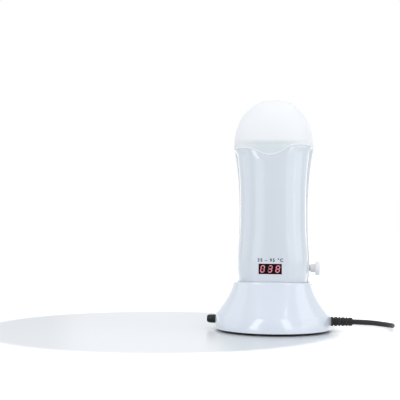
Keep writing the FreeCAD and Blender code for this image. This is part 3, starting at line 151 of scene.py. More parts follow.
def seen_rays(tree):
    """1 for rays from the camera, from a glossy surface or through a clear one, else 0."""
    path = tree.nodes.new("ShaderNodeLightPath")
    either = math_node(tree, "MAXIMUM", path.outputs["Is Camera Ray"], path.outputs["Is Glossy Ray"])
    return math_node(tree, "MAXIMUM", either, path.outputs["Is Transmission Ray"])


room_mix = room.nodes.new("ShaderNodeMixShader")
room_out = room.nodes.new("ShaderNodeOutputWorld")
room.links.new(seen_rays(room), room_mix.inputs[0])
room.links.new(room_light.outputs[0], room_mix.inputs[1])
room.links.new(room_seen.outputs[0], room_mix.inputs[2])
room.links.new(room_mix.outputs[0], room_out.inputs["Surface"])

# ---- Table top ----
# A pale plane with a slight gloss. Away from the heater it brightens to white, but only as it is
# seen: the glow lights nothing.
FLOOR_SIZE = 12.0
FLOOR_COLOUR = (0.72, 0.75, 0.78, 1)
FLOOR_ROUGHNESS = 0.3
FADE_MIDDLE = (-0.115, -0.015, 0.0)
FADE_START = 0.168
FADE_END = 0.192
FLOOR_GLOW = 0.5

half = FLOOR_SIZE / 2
corners = [(-half, -half, 0), (half, -half, 0), (half, half, 0), (-half, half, 0)]
floor_mesh = bpy.data.meshes.new("floor")
floor_mesh.from_pydata(corners, [], [(0, 1, 2, 3)])
floor = new_object("floor", floor_mesh)
floor_material = bpy.data.materials.new("table top")
floor_material.use_nodes = True
floor_nodes = floor_material.node_tree
floor_shader = floor_nodes.nodes["Principled BSDF"]
floor_shader.inputs["Base Color"].default_value = FLOOR_COLOUR
floor_shader.inputs["Roughness"].default_value = FLOOR_ROUGHNESS
floor_shader.inputs["Emission Color"].default_value = WHITE
floor_place = floor_nodes.nodes.new("ShaderNodeTexCoord")
floor_reach = floor_nodes.nodes.new("ShaderNodeVectorMath")
floor_reach.operation = "DISTANCE"
floor_reach.inputs[1].default_value = FADE_MIDDLE
floor_fade = floor_nodes.nodes.new("ShaderNodeMapRange")
floor_fade.interpolation_type = "SMOOTHSTEP"
floor_fade.inputs["From Min"].default_value = FADE_START
floor_fade.inputs["From Max"].default_value = FADE_END
floor_fade.inputs["To Max"].default_value = FLOOR_GLOW
floor_nodes.links.new(floor_place.outputs["Object"], floor_reach.inputs[0])
floor_nodes.links.new(floor_reach.outputs["Value"], floor_fade.inputs["Value"])
floor_glow = math_node(floor_nodes, "MULTIPLY", floor_fade.outputs["Result"], seen_rays(floor_nodes))
floor_nodes.links.new(floor_glow, floor_shader.inputs["Emission Strength"])
floor.data.materials.append(floor_material)

# ---- Plastic finishes ----
# The covers are injection moulded: the skin is smooth, with a very low grain, slight changes of
# gloss from the mould and faint settling marks in the colour.
MM = 0.001
SKIN_SOCKETS = (
    ("Colour", "INPUT", "Color"),
    ("Second colour", "INPUT", "Color"),
    ("Wide scale", "INPUT", "Float"),
    ("Grain scale", "INPUT", "Float"),
    ("Roughness", "INPUT", "Float"),
    ("Roughness spread", "INPUT", "Float"),
    ("Grain height", "INPUT", "Float"),
    ("Colour", "OUTPUT", "Color"),
    ("Roughness", "OUTPUT", "Float"),
    ("Normal", "OUTPUT", "Vector"),
)
WIDE_DETAIL = 3.0
FINE_DETAIL = 2.0


def moulded_skin_group():
    """Two noises on Object coordinates: the wide one blends two near colours and shifts the gloss,
    the fine one lifts the bump."""
    group = bpy.data.node_groups.new("moulded skin", "ShaderNodeTree")
    for title, direction, kind in SKIN_SOCKETS:
        group.interface.new_socket(name=title, in_out=direction, socket_type="NodeSocket" + kind)
    new, link = group.nodes.new, group.links.new
    given = new("NodeGroupInput")
    result = new("NodeGroupOutput")
    place = new("ShaderNodeTexCoord")

    def noise(scale, detail):
        texture = new("ShaderNodeTexNoise")
        texture.inputs["Detail"].default_value = detail
        link(place.outputs["Object"], texture.inputs["Vector"])
        link(given.outputs[scale], texture.inputs["Scale"])
        return texture.outputs["Fac"]

    wide = noise("Wide scale", WIDE_DETAIL)
    fine = noise("Grain scale", FINE_DETAIL)
    blend = new("ShaderNodeMix")
    blend.data_type = "RGBA"
    link(wide, blend.inputs["Factor"])
    link(given.outputs["Colour"], blend.inputs["A"])
    link(given.outputs["Second colour"], blend.inputs["B"])
    link(blend.outputs["Result"], result.inputs["Colour"])
    centred = math_node(group, "SUBTRACT", wide, 0.5)
    spread = given.outputs["Roughness spread"]
    roughness = math_node(group, "MULTIPLY_ADD", centred, spread, given.outputs["Roughness"])
    link(roughness, result.inputs["Roughness"])
    bump = new("ShaderNodeBump")
    bump.inputs["Strength"].default_value = 1.0
    link(fine, bump.inputs["Height"])
    link(given.outputs["Grain height"], bump.inputs["Distance"])
    link(bump.outputs["Normal"], result.inputs["Normal"])
    return group


MOULDED_SKIN = moulded_skin_group()


def plastic(
    name, colour, second, roughness, spread, wide=25.0, grain=900.0, height=0.01 * MM, gloss=0.5
):
    """Moulded plastic. Returns the material and its Principled shader, for what one plastic has of its
    own."""
    material = bpy.data.materials.new(name)
    material.use_nodes = True
    tree = material.node_tree
    shader = tree.nodes["Principled BSDF"]
    skin = tree.nodes.new("ShaderNodeGroup")
    skin.node_tree = MOULDED_SKIN
    skin.inputs["Colour"].default_value = (*colour, 1)
    skin.inputs["Second colour"].default_value = (*second, 1)
    skin.inputs["Roughness"].default_value = roughness
    skin.inputs["Roughness spread"].default_value = spread
    skin.inputs["Wide scale"].default_value = wide
    skin.inputs["Grain scale"].default_value = grain
    skin.inputs["Grain height"].default_value = height
    shader.inputs["Specular IOR Level"].default_value = gloss
    tree.links.new(skin.outputs["Colour"], shader.inputs["Base Color"])
    tree.links.new(skin.outputs["Roughness"], shader.inputs["Roughness"])
    tree.links.new(skin.outputs["Normal"], shader.inputs["Normal"])
    return material, shader


# ---- Mains cord ----
# Round black cord with a rubber jacket. It leaves the base through the strain relief, goes round
# behind the base, lies there in a tied coil of two layers and ends in the plug.
CORD_RADIUS = 2.5 * MM
CORD_START = (78.6, 0.0, 10.0)
LEAD = (
    CORD_START,
    (93.6, 0.0, 10.0),
    (113.5, 11.5, 6.5),
    (120.0, 35.5, 3.0),
    (107.5, 58.0, 2.7),
    (82.5, 67.5, 2.6),
    (54.0, 69.2, 2.6),
    (20.5, 66.4, 3.0),
)
TAIL = (
    (-51.3, 120.4, 6.9),
    (-51.3, 135.6, 6.9),
)
COIL_MIDDLE = (-12.0, 105.3)
COIL_WIDEST = 37.8
COIL_NARROWEST = 22.2
COIL_LOW = 3.6
COIL_HIGH = 8.6
COIL_STEPS = 14
WINDING_TURNS = 3.0
CLIMB_TURNS = 0.25
CORD_SMOOTHNESS = 6


def coil_points():
    """Clockwise turns from the near side: inwards on the floor's layer, up one cord, and outwards on
    top."""
    whole = 2 * WINDING_TURNS + CLIMB_TURNS
    count = int(round(whole * COIL_STEPS))
    points = []
    for k in range(count + 1):
        turns = whole * k / count
        winding = min(turns, WINDING_TURNS, whole - turns) / WINDING_TURNS
        climb = min(1.0, max(0.0, (turns - WINDING_TURNS) / CLIMB_TURNS))
        radius = COIL_WIDEST - (COIL_WIDEST - COIL_NARROWEST) * winding
        bearing = -math.pi / 2 - 2 * math.pi * turns
        points.append((
            COIL_MIDDLE[0] + radius * math.cos(bearing),
            COIL_MIDDLE[1] + radius * math.sin(bearing),
            COIL_LOW + (COIL_HIGH - COIL_LOW) * climb,
        ))
    return points


cord_curve = bpy.data.curves.new("mains_cord", "CURVE")
cord_curve.dimensions = "3D"
cord_curve.bevel_depth = CORD_RADIUS
cord_curve.bevel_resolution = CORD_SMOOTHNESS
cord_curve.use_fill_caps = True
route = [*LEAD, *coil_points(), *TAIL]
spline = cord_curve.splines.new("NURBS")
spline.points.add(len(route) - 1)
for point, (x, y, z) in zip(spline.points, route):
    point.co = (x * MM, y * MM, z * MM, 1.0)
spline.order_u = 3
spline.use_endpoint_u = True
spline.resolution_u = CORD_SMOOTHNESS
mains_cord = new_object("mains_cord", cord_curve)
rubber, _ = plastic(
    "black rubber jacket", (0.020, 0.019, 0.020), (0.030, 0.028, 0.029), 0.42, 0.12, 60.0, 1500.0,
    0.02 * MM, 0.2,
)
cord_curve.materials.append(rubber)
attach(mains_cord, "base")
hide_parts("cord_lead", "cord_coil", "cord_tail")

# ---- Cord tie and plug ----
# A flat strap of soft plastic holds the coil, wrapped round all its turns. The plug is moulded on
# the cord in one piece, flat, with a bend protector at its back and two round pins in sleeves.
TIE_HALF_WIDTH = 4.0
TIE_THICKNESS = 0.8
TIE_SQUARENESS = 7
TIE_COLUMNS = 48
PLUG_X, PLUG_Y, PLUG_Z = TAIL[-1]
PLUG_LENGTH = 36.0
PLUG_BACK_HALF_W = 5.5
PLUG_WIDENS = 12.0
PLUG_BACK_HALF_T = 5.0
PLUG_THICKENS = 1.8
PLUG_SQUARENESS = 3.2
PLUG_COLUMNS = 56
GRIP_PLACE = 0.42
GRIP_REACH = 0.16
GRIP_DEPTH = 1.6
PLUG_ROWS = (0.0, 0.0, *np.linspace(0.02, 0.97, 30), 0.985, 1.0, 1.0)
PLUG_ROUNDING = ((0, 0.0), (1, 0.82), (2, 0.97), (-3, 0.985), (-2, 0.93), (-1, 0.0))
PIN_ROOT = 1.0
PIN_LENGTH = 19.0
PIN_RADIUS = 2.0
PIN_NOSE = 1.6
PIN_SPACING = 18.6
PIN_COLUMNS = 28
NOSE_STEPS = 7
SLEEVE_LENGTH = 10.0
SLEEVE_RADIUS = 2.04
SLEEVE_EDGE = 0.02
JOIN_DISTANCE = 0.0005 * MM


def surface(name, points, around=False, dropped=None):
    """Mesh of a (rows, columns, 3) grid in millimetres. Each cell is one face, columns run to the left of
    the rising rows so that faces look outwards, and points that coincide, as at a pole, are joined."""
    rows, columns = points.shape[:2]
    index = np.arange(rows * columns).reshape(rows, columns)
    if around:
        index = np.concatenate([index, index[:, :1]], axis=1)
    cells = np.stack([index[:-1, :-1], index[:-1, 1:], index[1:, 1:], index[1:, :-1]], axis=-1)
    if dropped is not None:
        cells = cells[~dropped]
    mesh = bpy.data.meshes.new(name)
    mesh.from_pydata((points.reshape(-1, 3) * MM).tolist(), [], cells.reshape(-1, 4).tolist())
    work = bmesh.new()
    work.from_mesh(mesh)
    bmesh.ops.remove_doubles(work, verts=work.verts, dist=JOIN_DISTANCE)
    bmesh.ops.dissolve_degenerate(work, edges=work.edges, dist=JOIN_DISTANCE)
    work.to_mesh(mesh)
    work.free()
    mesh.shade_smooth()
    return new_object(name, mesh)


def full_turn(count):
    """One row of even angles round a full turn."""
    return np.linspace(0, 2 * np.pi, count, endpoint=False)[None, :]


def grid(x, y, z):
    """(rows, columns, 3) array of points from their coordinates."""
    return np.stack(np.broadcast_arrays(x, y, z), axis=-1)


def turned(profile, columns, swell=None):
    """Profile rows (place along the axis, radius) carried round the X axis: y = r cos t, z = r sin t.
    swell(places, angles) multiplies the radius where the piece is fluted."""
    profile = np.array(profile, float)
    angle = full_turn(columns)
    along, radius = profile[:, :1], profile[:, 1:]
    if swell is not None:
        radius = radius * swell(along, angle)
    return grid(along, radius * np.cos(angle), radius * np.sin(angle))


def rounded_profile(corners, steps):
    """Polyline of (place, radius, rounding) corners, each corner replaced by a quadratic curve of that
    reach."""
    corners = [np.array(c, float) for c in corners]
    points = [corners[0][:2]]
    for before, corner, after in zip(corners, corners[1:], corners[2:]):
        before, corner, after, reach = before[:2], corner[:2], after[:2], corner[2]
        if reach == 0:
            points.append(corner)
            continue
        start = corner + reach * (before - corner) / np.linalg.norm(before - corner)
        end = corner + reach * (after - corner) / np.linalg.norm(after - corner)
        for t in np.linspace(0, 1, steps):
            points.append((1 - t) ** 2 * start + 2 * t * (1 - t) * corner + t ** 2 * end)
    points.append(corners[-1][:2])
    return points


def along_y(points, x, y, z):
    """Points that were turned round X, swung round to run along Y from (x, y, z)."""
    return grid(x - points[..., 1], y + points[..., 0], z + points[..., 2])


def paint(data, material):
    """Gives a mesh its only material."""
    data.materials.clear()
    data.materials.append(material)


def hold(piece, body, slot, material, *stands_for):
    """Material, body, slot (not used) and replaced solids of one finished piece."""
    paint(piece.data, material)
    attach(piece, body)
    if stands_for:
        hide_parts(*stands_for)


def tie_points():
    """Rounded rectangle round the coil's section, carried across the strap's width: a closed loop of
    inner and outer rows."""
    low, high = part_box("cord_tie")
    x0, x1 = low.x / MM, high.x / MM
    z0, z1 = low.z / MM, high.z / MM
    angle = full_turn(TIE_COLUMNS)[0]
    power = 2 / TIE_SQUARENESS
    across = np.sign(np.cos(angle)) * np.abs(np.cos(angle)) ** power
    up = np.sign(np.sin(angle)) * np.abs(np.sin(angle)) ** power
    rows = []
    for layer, side in ((1, 1), (0, 1), (0, -1), (1, -1), (1, 1)):
        inset = layer * TIE_THICKNESS
        x = (x0 + x1) / 2 + ((x1 - x0) / 2 - inset) * across
        z = (z0 + z1) / 2 + ((z1 - z0) / 2 - inset) * up
        rows.append(grid(x, COIL_MIDDLE[1] + side * TIE_HALF_WIDTH, z))
    return np.array(rows)


def soften(piece, width, segments=2, angle=35.0):
    """Live bevel on the sharp edges, and smooth shading up to the same angle."""
    bevel = piece.modifiers.new("rounded edges", "BEVEL")
    bevel.width = width * MM
    bevel.segments = segments
    bevel.limit_method = "ANGLE"
    bevel.angle_limit = math.radians(angle)
    bevel.harden_normals = True


tie = surface("cord_strap", tie_points(), around=True)
tie_plastic, _ = plastic("strap plastic", (0.05, 0.05, 0.052), (0.07, 0.07, 0.07), 0.5, 0.1)
soften(tie, 0.2)
hold(tie, "base", "black_plastic", tie_plastic, "cord_tie")


def smooth(share):
    """Step from 0 to 1 that is flat at both ends."""
    return share ** 2 * (3 - 2 * share)


def oval(half_w, half_d, power, angle):
    """Point of |x/w|^p + |y/d|^p = 1 at each polar angle."""
    sides = np.abs(np.cos(angle) / half_w) ** power
    ends = np.abs(np.sin(angle) / half_d) ** power
    reach = (sides + ends) ** (-1 / power)
    return reach * np.cos(angle), reach * np.sin(angle)


def plug_points():
    """Superellipses along Y: half width and thickness go smoothly from the cord's end to the face, with
    a shallow grip on each side and a rounded edge at both ends."""
    along = np.array(PLUG_ROWS)[:, None]
    grip = np.exp(-((along - GRIP_PLACE) / GRIP_REACH) ** 2)
    half_w = PLUG_BACK_HALF_W + PLUG_WIDENS * smooth(along) - GRIP_DEPTH * grip
    half_t = PLUG_BACK_HALF_T + PLUG_THICKENS * smooth(along)
    closing = np.ones_like(along)
    for row, share in PLUG_ROUNDING:
        closing[row] = share
    across, up = oval(1.0, 1.0, PLUG_SQUARENESS, full_turn(PLUG_COLUMNS))
    x = PLUG_X - half_w * closing * across
    z = PLUG_Z + half_t * closing * up
    return grid(x, PLUG_Y + PLUG_LENGTH * along, z)


plug = surface("mains_plug", plug_points(), around=True)
plug_rubber, _ = plastic(
    "plug rubber", (0.030, 0.029, 0.030), (0.042, 0.041, 0.042), 0.38, 0.1, 60.0, 1200.0, 0.02 * MM
)
hold(plug, "base", "cord_rubber", plug_rubber, "plug_body")


def pin_points(x, start, end, radius, nose):
    """Pin along Y from one place to another, with a rounded nose."""
    length = end - start
    corners = ((0, 0, 0), (0, radius, 0), (length, radius, nose), (length, 0, 0))
    profile = rounded_profile(corners, NOSE_STEPS)
    return along_y(turned(profile, PIN_COLUMNS), x, start, PLUG_Z)


def metal(name, colour, second, roughness, spread, wide):
    """The same skin, made metallic."""
    material, shader = plastic(name, colour, second, roughness, spread, wide)
    shader.inputs["Metallic"].default_value = 1.0
    return material


pin_metal = metal("nickel plate", (0.78, 0.76, 0.72), (0.70, 0.68, 0.64), 0.22, 0.1, 80.0)
plug_parts = [plug, tie]
face = PLUG_Y + PLUG_LENGTH
for side, name in ((-1, "left"), (1, "right")):
    x = PLUG_X + side * PIN_SPACING / 2
    pin_grid = pin_points(x, face - PIN_ROOT, face + PIN_LENGTH, PIN_RADIUS, PIN_NOSE)
    sleeve_grid = pin_points(x, face - PIN_ROOT, face + SLEEVE_LENGTH, SLEEVE_RADIUS, SLEEVE_EDGE)
    pin = surface(f"plug_pin_{name}", pin_grid, around=True)
    sleeve = surface(f"plug_sleeve_{name}", sleeve_grid, around=True)
    hold(pin, "base", "pin_metal", pin_metal, "plug_pins")
    hold(sleeve, "base", "cord_rubber", plug_rubber)
    plug_parts += [pin, sleeve]

# ---- Strain relief ----
# Black rubber sleeve moulded on the cord. Ribs round it are joined by short bridges, turned a
# quarter from one rib to the next, so that it bends; its neck is keyed in the wall of the base.
RELIEF_START = 57.6
RELIEF_END = CORD_START[0]
SIDE_AXIS_Z = CORD_START[2]
RELIEF_RIBS = 6
ROWS_PER_RIB = 14
RELIEF_COLUMNS = 72
CORE_RADIUS = 3.55
CORE_TAPER = 0.25
RIB_HEIGHT = 1.05
RIB_TAPER = 0.30
RIB_PLACE = 0.32
RIB_WIDTH = 0.25
RIB_SHARPNESS = 9
BRIDGE_WIDTH = 0.93
BRIDGE_HEIGHT = 0.85
BRIDGE_SHARPNESS = 30
BRIDGE_CHANGES = 0.18
RELIEF_END_RADIUS = 3.1


def relief_points():
    """Radius along X: a core with ribs of near square wave, and bridges where |cos| of the angle from
    each rib's own quarter is near one; the whole tapers towards the cord."""
    pitch = (RELIEF_END - RELIEF_START) / RELIEF_RIBS
    along = np.linspace(RELIEF_START, RELIEF_END, 1 + RELIEF_RIBS * ROWS_PER_RIB)[:, None]
    angle = full_turn(RELIEF_COLUMNS)
    phase = (along - RELIEF_START) / pitch
    rib = 1 / (1 + np.exp(-RIB_SHARPNESS * (np.cos(2 * np.pi * (phase - RIB_PLACE)) + RIB_WIDTH)))
    quarter = np.floor(phase + BRIDGE_CHANGES) * np.pi / 2
    bridge = 1 / (1 + np.exp(-BRIDGE_SHARPNESS * (np.abs(np.cos(angle - quarter)) - BRIDGE_WIDTH)))
    height = np.maximum(rib, bridge * BRIDGE_HEIGHT)
    share = (along - RELIEF_START) / (RELIEF_END - RELIEF_START)
    radius = (CORE_RADIUS - CORE_TAPER * share) + (RIB_HEIGHT - RIB_TAPER * share) * height
    radius[-1] = RELIEF_END_RADIUS
    radius = np.concatenate([0 * radius[:1], radius, 0 * radius[-1:]])
    along = np.concatenate([along[:1], along, along[-1:]])
    return grid(along, radius * np.cos(angle), SIDE_AXIS_Z + radius * np.sin(angle))


relief = surface("cord_strain_relief", relief_points(), around=True)
hold(relief, "base", "cord_rubber", rubber, "strain_relief")

# ---- Base ----
# One moulding: a round foot wall that flares in to an oval collar, with a deep socket in its top
# for the handset. Round holes in its sides take the power button and the cord's strain relief.
BASE_LOW = 2.6
BASE_WALL_TOP = 16.5
BASE_TOP = 48.5
BASE_RADIUS = 58.3
BASE_WALL = 2.4
SIDE_FLARE = 1.45
FRONT_FLARE = 1.0
FLARE_ROUNDING = 0.7
SIDE_LEAN = 0.4
FRONT_LEAN = 5.4
FRONT_WALL_TOP = 18.5
RIM_HALF_W = 39.0
RIM_HALF_D = 34.4
RIM_ROUND = 1.5
FRONT_RISE = 1.2
SOCKET_HALF_W = 35.1
SOCKET_HALF_D = 30.5
SOCKET_SQUARENESS = 2.7
SOCKET_FLOOR = 36.0
SOCKET_LIP = 0.8
SOCKET_WALL = 1.9
WALL_SPAN = (BASE_LOW, BASE_WALL_TOP - 1.2)
FLARE_SPAN = (BASE_WALL_TOP - 0.6, BASE_TOP - RIM_ROUND)
SOCKET_SPAN = (BASE_TOP - 2.0, SOCKET_FLOOR + 0.8)
RISE_START = SOCKET_FLOOR + 2.0
CORNER_RINGS = ((-0.2, 0.25), (-0.8, 0.0))
FLOOR_RINGS = (0.8, 0.55, 0.3, 0.0)
UNDER_RINGS = (0.0, 0.5, 0.98)
BASE_COLUMNS = 160
WALL_ROWS = 8
FLARE_ROWS = 44
RIM_ROWS = 6
LIP_ROWS = 4
SOCKET_ROWS = 6
INNER_ROWS = 20
BUTTON_HOLE = 4.65
RELIEF_HOLE = 3.92
SIDE_CUT_IN = 50.0
SIDE_CUT_OUT = 70.0
PIN_HOLE = 1.8
DOCK_PIN_X = 8.0
PIN_CUT_LOW = 30.0
PIN_CUT_HIGH = 40.0
BORE_COLUMNS = 40
BORE_TURN = 3.1
SHARP_ANGLE = 40.0


def base_form(z):
    """Half width, half depth and squareness of the outside: a near upright wall, then the flare, which is
    hollow at the sides and straight in front."""
    def reach(top, lean, bend, rim, flare_power):
        wall = np.clip((z - BASE_LOW) / (top - BASE_LOW), 0, 1)
        flare = np.clip(1 - (z - top) / (BASE_TOP - top), 0, 1)
        upright = BASE_RADIUS - lean * wall ** bend
        flared = rim + (BASE_RADIUS - lean - rim) * flare ** flare_power
        return np.where(z <= top, upright, flared), flare

    half_w, flare = reach(BASE_WALL_TOP, SIDE_LEAN, 1.0, RIM_HALF_W, SIDE_FLARE)
    half_d, _ = reach(FRONT_WALL_TOP, FRONT_LEAN, 2.0, RIM_HALF_D, FRONT_FLARE)
    return half_w, half_d, SOCKET_SQUARENESS - FLARE_ROUNDING * flare


def base_points():
    """Closed rings of the oval, one above another: up the outside, over the round rim, down into the
    socket to the middle of its floor, and back below it to the foot. The rim rises a little in front."""
    angle = full_turn(BASE_COLUMNS)
    rings = []

    def ring(half_w, half_d, power, z, scale=1.0, low=RISE_START):
        x, y = oval(half_w, half_d, power, angle)
        share = np.clip((z - low) / (BASE_TOP - low), 0, 1)
        up = z + FRONT_RISE * share * np.clip(-np.sin(angle), 0, 1) ** 2
        rings.append(grid(x * scale, y * scale, up)[0])

    def socket_ring(grow, z, scale=1.0):
        ring(SOCKET_HALF_W + grow, SOCKET_HALF_D + grow, SOCKET_SQUARENESS, z, scale)

    for z in np.linspace(*WALL_SPAN, WALL_ROWS):
        ring(*base_form(z), z)
    for z in np.linspace(*FLARE_SPAN, FLARE_ROWS):
        ring(*base_form(z), z, low=FRONT_WALL_TOP)
    half_w, half_d, power = base_form(FLARE_SPAN[1])
    for turn in np.linspace(0, np.pi / 2, RIM_ROWS)[1:]:
        inset = RIM_ROUND * (1 - np.cos(turn))
        z = BASE_TOP - RIM_ROUND * (1 - np.sin(turn))
        ring(half_w - inset, half_d - inset, power, z, low=FRONT_WALL_TOP)
    for turn in np.linspace(0, np.pi / 2, LIP_ROWS):
        socket_ring(SOCKET_LIP * (1 - np.sin(turn)), BASE_TOP - SOCKET_LIP * (1 - np.cos(turn)))
    for z in np.linspace(*SOCKET_SPAN, SOCKET_ROWS):
        socket_ring(0.0, z)
    for grow, rise in CORNER_RINGS:
        socket_ring(grow, SOCKET_FLOOR + rise)
    for scale in FLOOR_RINGS:
        socket_ring(0.0, SOCKET_FLOOR, scale)
    under = SOCKET_FLOOR - BASE_WALL
    for scale in UNDER_RINGS:
        socket_ring(SOCKET_WALL, under, scale)
    inner_top = BASE_TOP - 2 * BASE_WALL
    for z in (under + 0.4, inner_top):
        socket_ring(SOCKET_WALL, z)
    for z in np.linspace(inner_top, BASE_LOW, INNER_ROWS):
        half_w, half_d, power = base_form(z)
        ring(half_w - BASE_WALL, half_d - BASE_WALL, power, z)
    rings.append(rings[0])
    return np.array(rings)


def cut_out(piece, cutters):
    """Takes each cutter's volume out of the piece, which becomes one plain mesh."""
    for cutter in cutters:
        cut = piece.modifiers.new("hole", "BOOLEAN")
        cut.operation = "DIFFERENCE"
        cut.solver = "EXACT"
        cut.object = cutter
    bpy.context.view_layer.update()
    seen = piece.evaluated_get(bpy.context.evaluated_depsgraph_get())
    mesh = bpy.data.meshes.new_from_object(seen)
    mesh.name = piece.name
    piece.modifiers.clear()
    piece.data = mesh
    for cutter in cutters:
        bpy.data.objects.remove(cutter)
    mesh.set_sharp_from_angle(angle=math.radians(SHARP_ANGLE))


def bore(start, end, radius):
    """Round cutter between two points along X, Y or Z. It is turned a little about its own axis, so that
    its edges stay off the grid lines of the piece it cuts."""
    start, end = np.array(start, float), np.array(end, float)
    length = np.linalg.norm(end - start)
    points = turned(((0, 0), (0, radius), (length, radius), (length, 0)), BORE_COLUMNS)
    cutter = surface("cutter", points, around=True)
    turn = Vector((1, 0, 0)).rotation_difference(Vector(end - start))
    aside = Matrix.Rotation(math.radians(BORE_TURN), 4, "X")
    cutter.data.transform(Matrix.Translation(Vector(start) * MM) @ turn.to_matrix().to_4x4() @ aside)
    return cutter


def add_coat(shader, roughness):
    """Clear gloss over the whole skin."""
    shader.inputs["Coat Weight"].default_value = 1.0
    shader.inputs["Coat Roughness"].default_value = roughness


base = surface("base_moulding", base_points(), around=True)
cut_out(base, [
    bore((-SIDE_CUT_OUT, 0, SIDE_AXIS_Z), (-SIDE_CUT_IN, 0, SIDE_AXIS_Z), BUTTON_HOLE),
    bore((SIDE_CUT_IN, 0, SIDE_AXIS_Z), (SIDE_CUT_OUT, 0, SIDE_AXIS_Z), RELIEF_HOLE),
    bore((-DOCK_PIN_X, 0, PIN_CUT_LOW), (-DOCK_PIN_X, 0, PIN_CUT_HIGH), PIN_HOLE),
    bore((DOCK_PIN_X, 0, PIN_CUT_LOW), (DOCK_PIN_X, 0, PIN_CUT_HIGH), PIN_HOLE),
])
base_plastic, base_shader = plastic("base plastic", (0.705, 0.76, 0.845), (0.69, 0.745, 0.83), 0.2, 0.05)
add_coat(base_shader, 0.08)
hold(base, "base", "base_plastic", base_plastic, "base_shell")

# ---- Underside of the base ----
# A flat black plate closes the base from below, held by four screws in bosses. A rubber ring on
# the plate is the foot that the whole heater stands on.


def finish(material, *names):
    """Gives solids of the frame their material."""
    for name in names:
        paint(nodes[name].data, material)


plate_plastic, _ = plastic(
    "black plate plastic", (0.028, 0.028, 0.030), (0.040, 0.040, 0.042), 0.48, 0.1, 40.0, 2200.0, 0.05 * MM
)
foot_rubber, _ = plastic(
    "grey foot rubber", (0.018, 0.018, 0.019), (0.026, 0.026, 0.027), 0.75, 0.1, 70.0, 1600.0, 0.06 * MM
)
screw_steel = metal("zinc-plated screws", (0.62, 0.62, 0.63), (0.52, 0.53, 0.55), 0.35, 0.2, 300.0)
finish(plate_plastic, "base_plate")
finish(foot_rubber, "foot_ring")
finish(screw_steel, "base_screws", "clamp_screws", "shell_screws", "board_screws")

# ---- Dock contacts ----
# Two turned brass pins stand up through the socket's floor from a black block below it. They go
# into two sleeves in the handset's foot and carry the current to it.
contact_brass = metal("turned brass", (0.80, 0.60, 0.27), (0.70, 0.50, 0.20), 0.28, 0.12, 200.0)
finish(contact_brass, "dock_pins", "handset_contacts")
finish(plate_plastic, "dock_connector", "handset_socket", "power_switch")

# ---- Cord entry inside the base ----
# The cord's inner end is held down by a bar with two screws, and soft insulated wires go on to the
# switch and the contacts.
wire_cover, _ = plastic("soft wire cover", (0.45, 0.08, 0.06), (0.38, 0.06, 0.05), 0.45, 0.1, 90.0)
inner_plastic, _ = plastic("natural plastic", (0.72, 0.72, 0.68), (0.68, 0.68, 0.64), 0.45, 0.1, 40.0)
finish(rubber, "inner_cord")
finish(inner_plastic, "cord_clamp")
finish(wire_cover, "base_wires", "handset_wires")

# ---- Power button ----
# A round push button of glossy black plastic, with a rounded outer edge and a slightly hollow face.
# Its stem runs back in to the switch.
BUTTON_TIP = -66.8
BUTTON_BACK = -54.0
BUTTON_RADIUS = 4.35
BUTTON_STEM = 2.6
STEM_END = -48.0
BUTTON_COLUMNS = 64
BUTTON_PROFILE = (
    # place along X, radius, reach of the rounding
    (BUTTON_TIP + 0.35, 0, 0),
    (BUTTON_TIP + 0.25, 2.0, 1.0),
    (BUTTON_TIP, 3.3, 0.6),
    (BUTTON_TIP + 2.4, BUTTON_RADIUS, 1.6),
    (BUTTON_BACK, BUTTON_RADIUS, 0.2),
    (BUTTON_BACK, BUTTON_STEM, 0.1),
    (STEM_END, BUTTON_STEM, 0.3),
    (STEM_END, 0, 0),
)
ROUNDING_STEPS = 6

button_grid = turned(rounded_profile(BUTTON_PROFILE, ROUNDING_STEPS), BUTTON_COLUMNS)
button = surface("push_button", button_grid + (0.0, 0.0, SIDE_AXIS_Z), around=True)
button_plastic, _ = plastic(
    "glossy black plastic", (0.008, 0.010, 0.011), (0.012, 0.014, 0.015), 0.2, 0.08, gloss=0.3
)
hold(button, "button", "button_plastic", button_plastic, "power_button")

# ---- Form of the handset ----
# Both shells and the cap share one outer form: an oval section that swells below the waist, draws
# in at the waist and opens again to the shoulder, where the dome starts.
FOOT_TOP = 38.4
BULGE_Z = 66.0
WAIST_Z = 115.0
SHOULDER_Z = 181.0
DOME_HEIGHT = 49.4
DOME_POWER = 2.17
FORM_TABLE = (
    # at the waist, added at the bulge, at the foot, at the shoulder
    (34.0, 2.1, -1.5, 5.6),  # half width
    (30.0, 0.8, -0.8, 3.5),  # half depth
    (2.4, 0.3, 0.0, -0.1),  # squareness
)
BULGE_POWER = 1.35
RISE_POWER = 2.35
WAVE_KNOTS = ((-26.0, 180.0), (0.3, 172.8), (26.5, 183.1), (39.6, 182.9))
WAVE_HANDLE = 0.38
WAVE_STEPS = 40
FAR_ASIDE = 100.0
PANEL_STEP = 0.8
STEP_GROWTH = 1.4
STEP_POWER = 1.2
STEP_RUN_OUT = 7.0
STEP_LOSS = 0.85
SEAM_Z = 180.0
SEAM_GAP = 0.02
SEAM_PASSES = 4
EDGE_ANGLE = 50.0


def oval_share(share, power):
    """Share of one half axis that the oval reaches at a share of the other."""
    return np.clip(1 - np.abs(share) ** power, 0, 1) ** (1 / power)


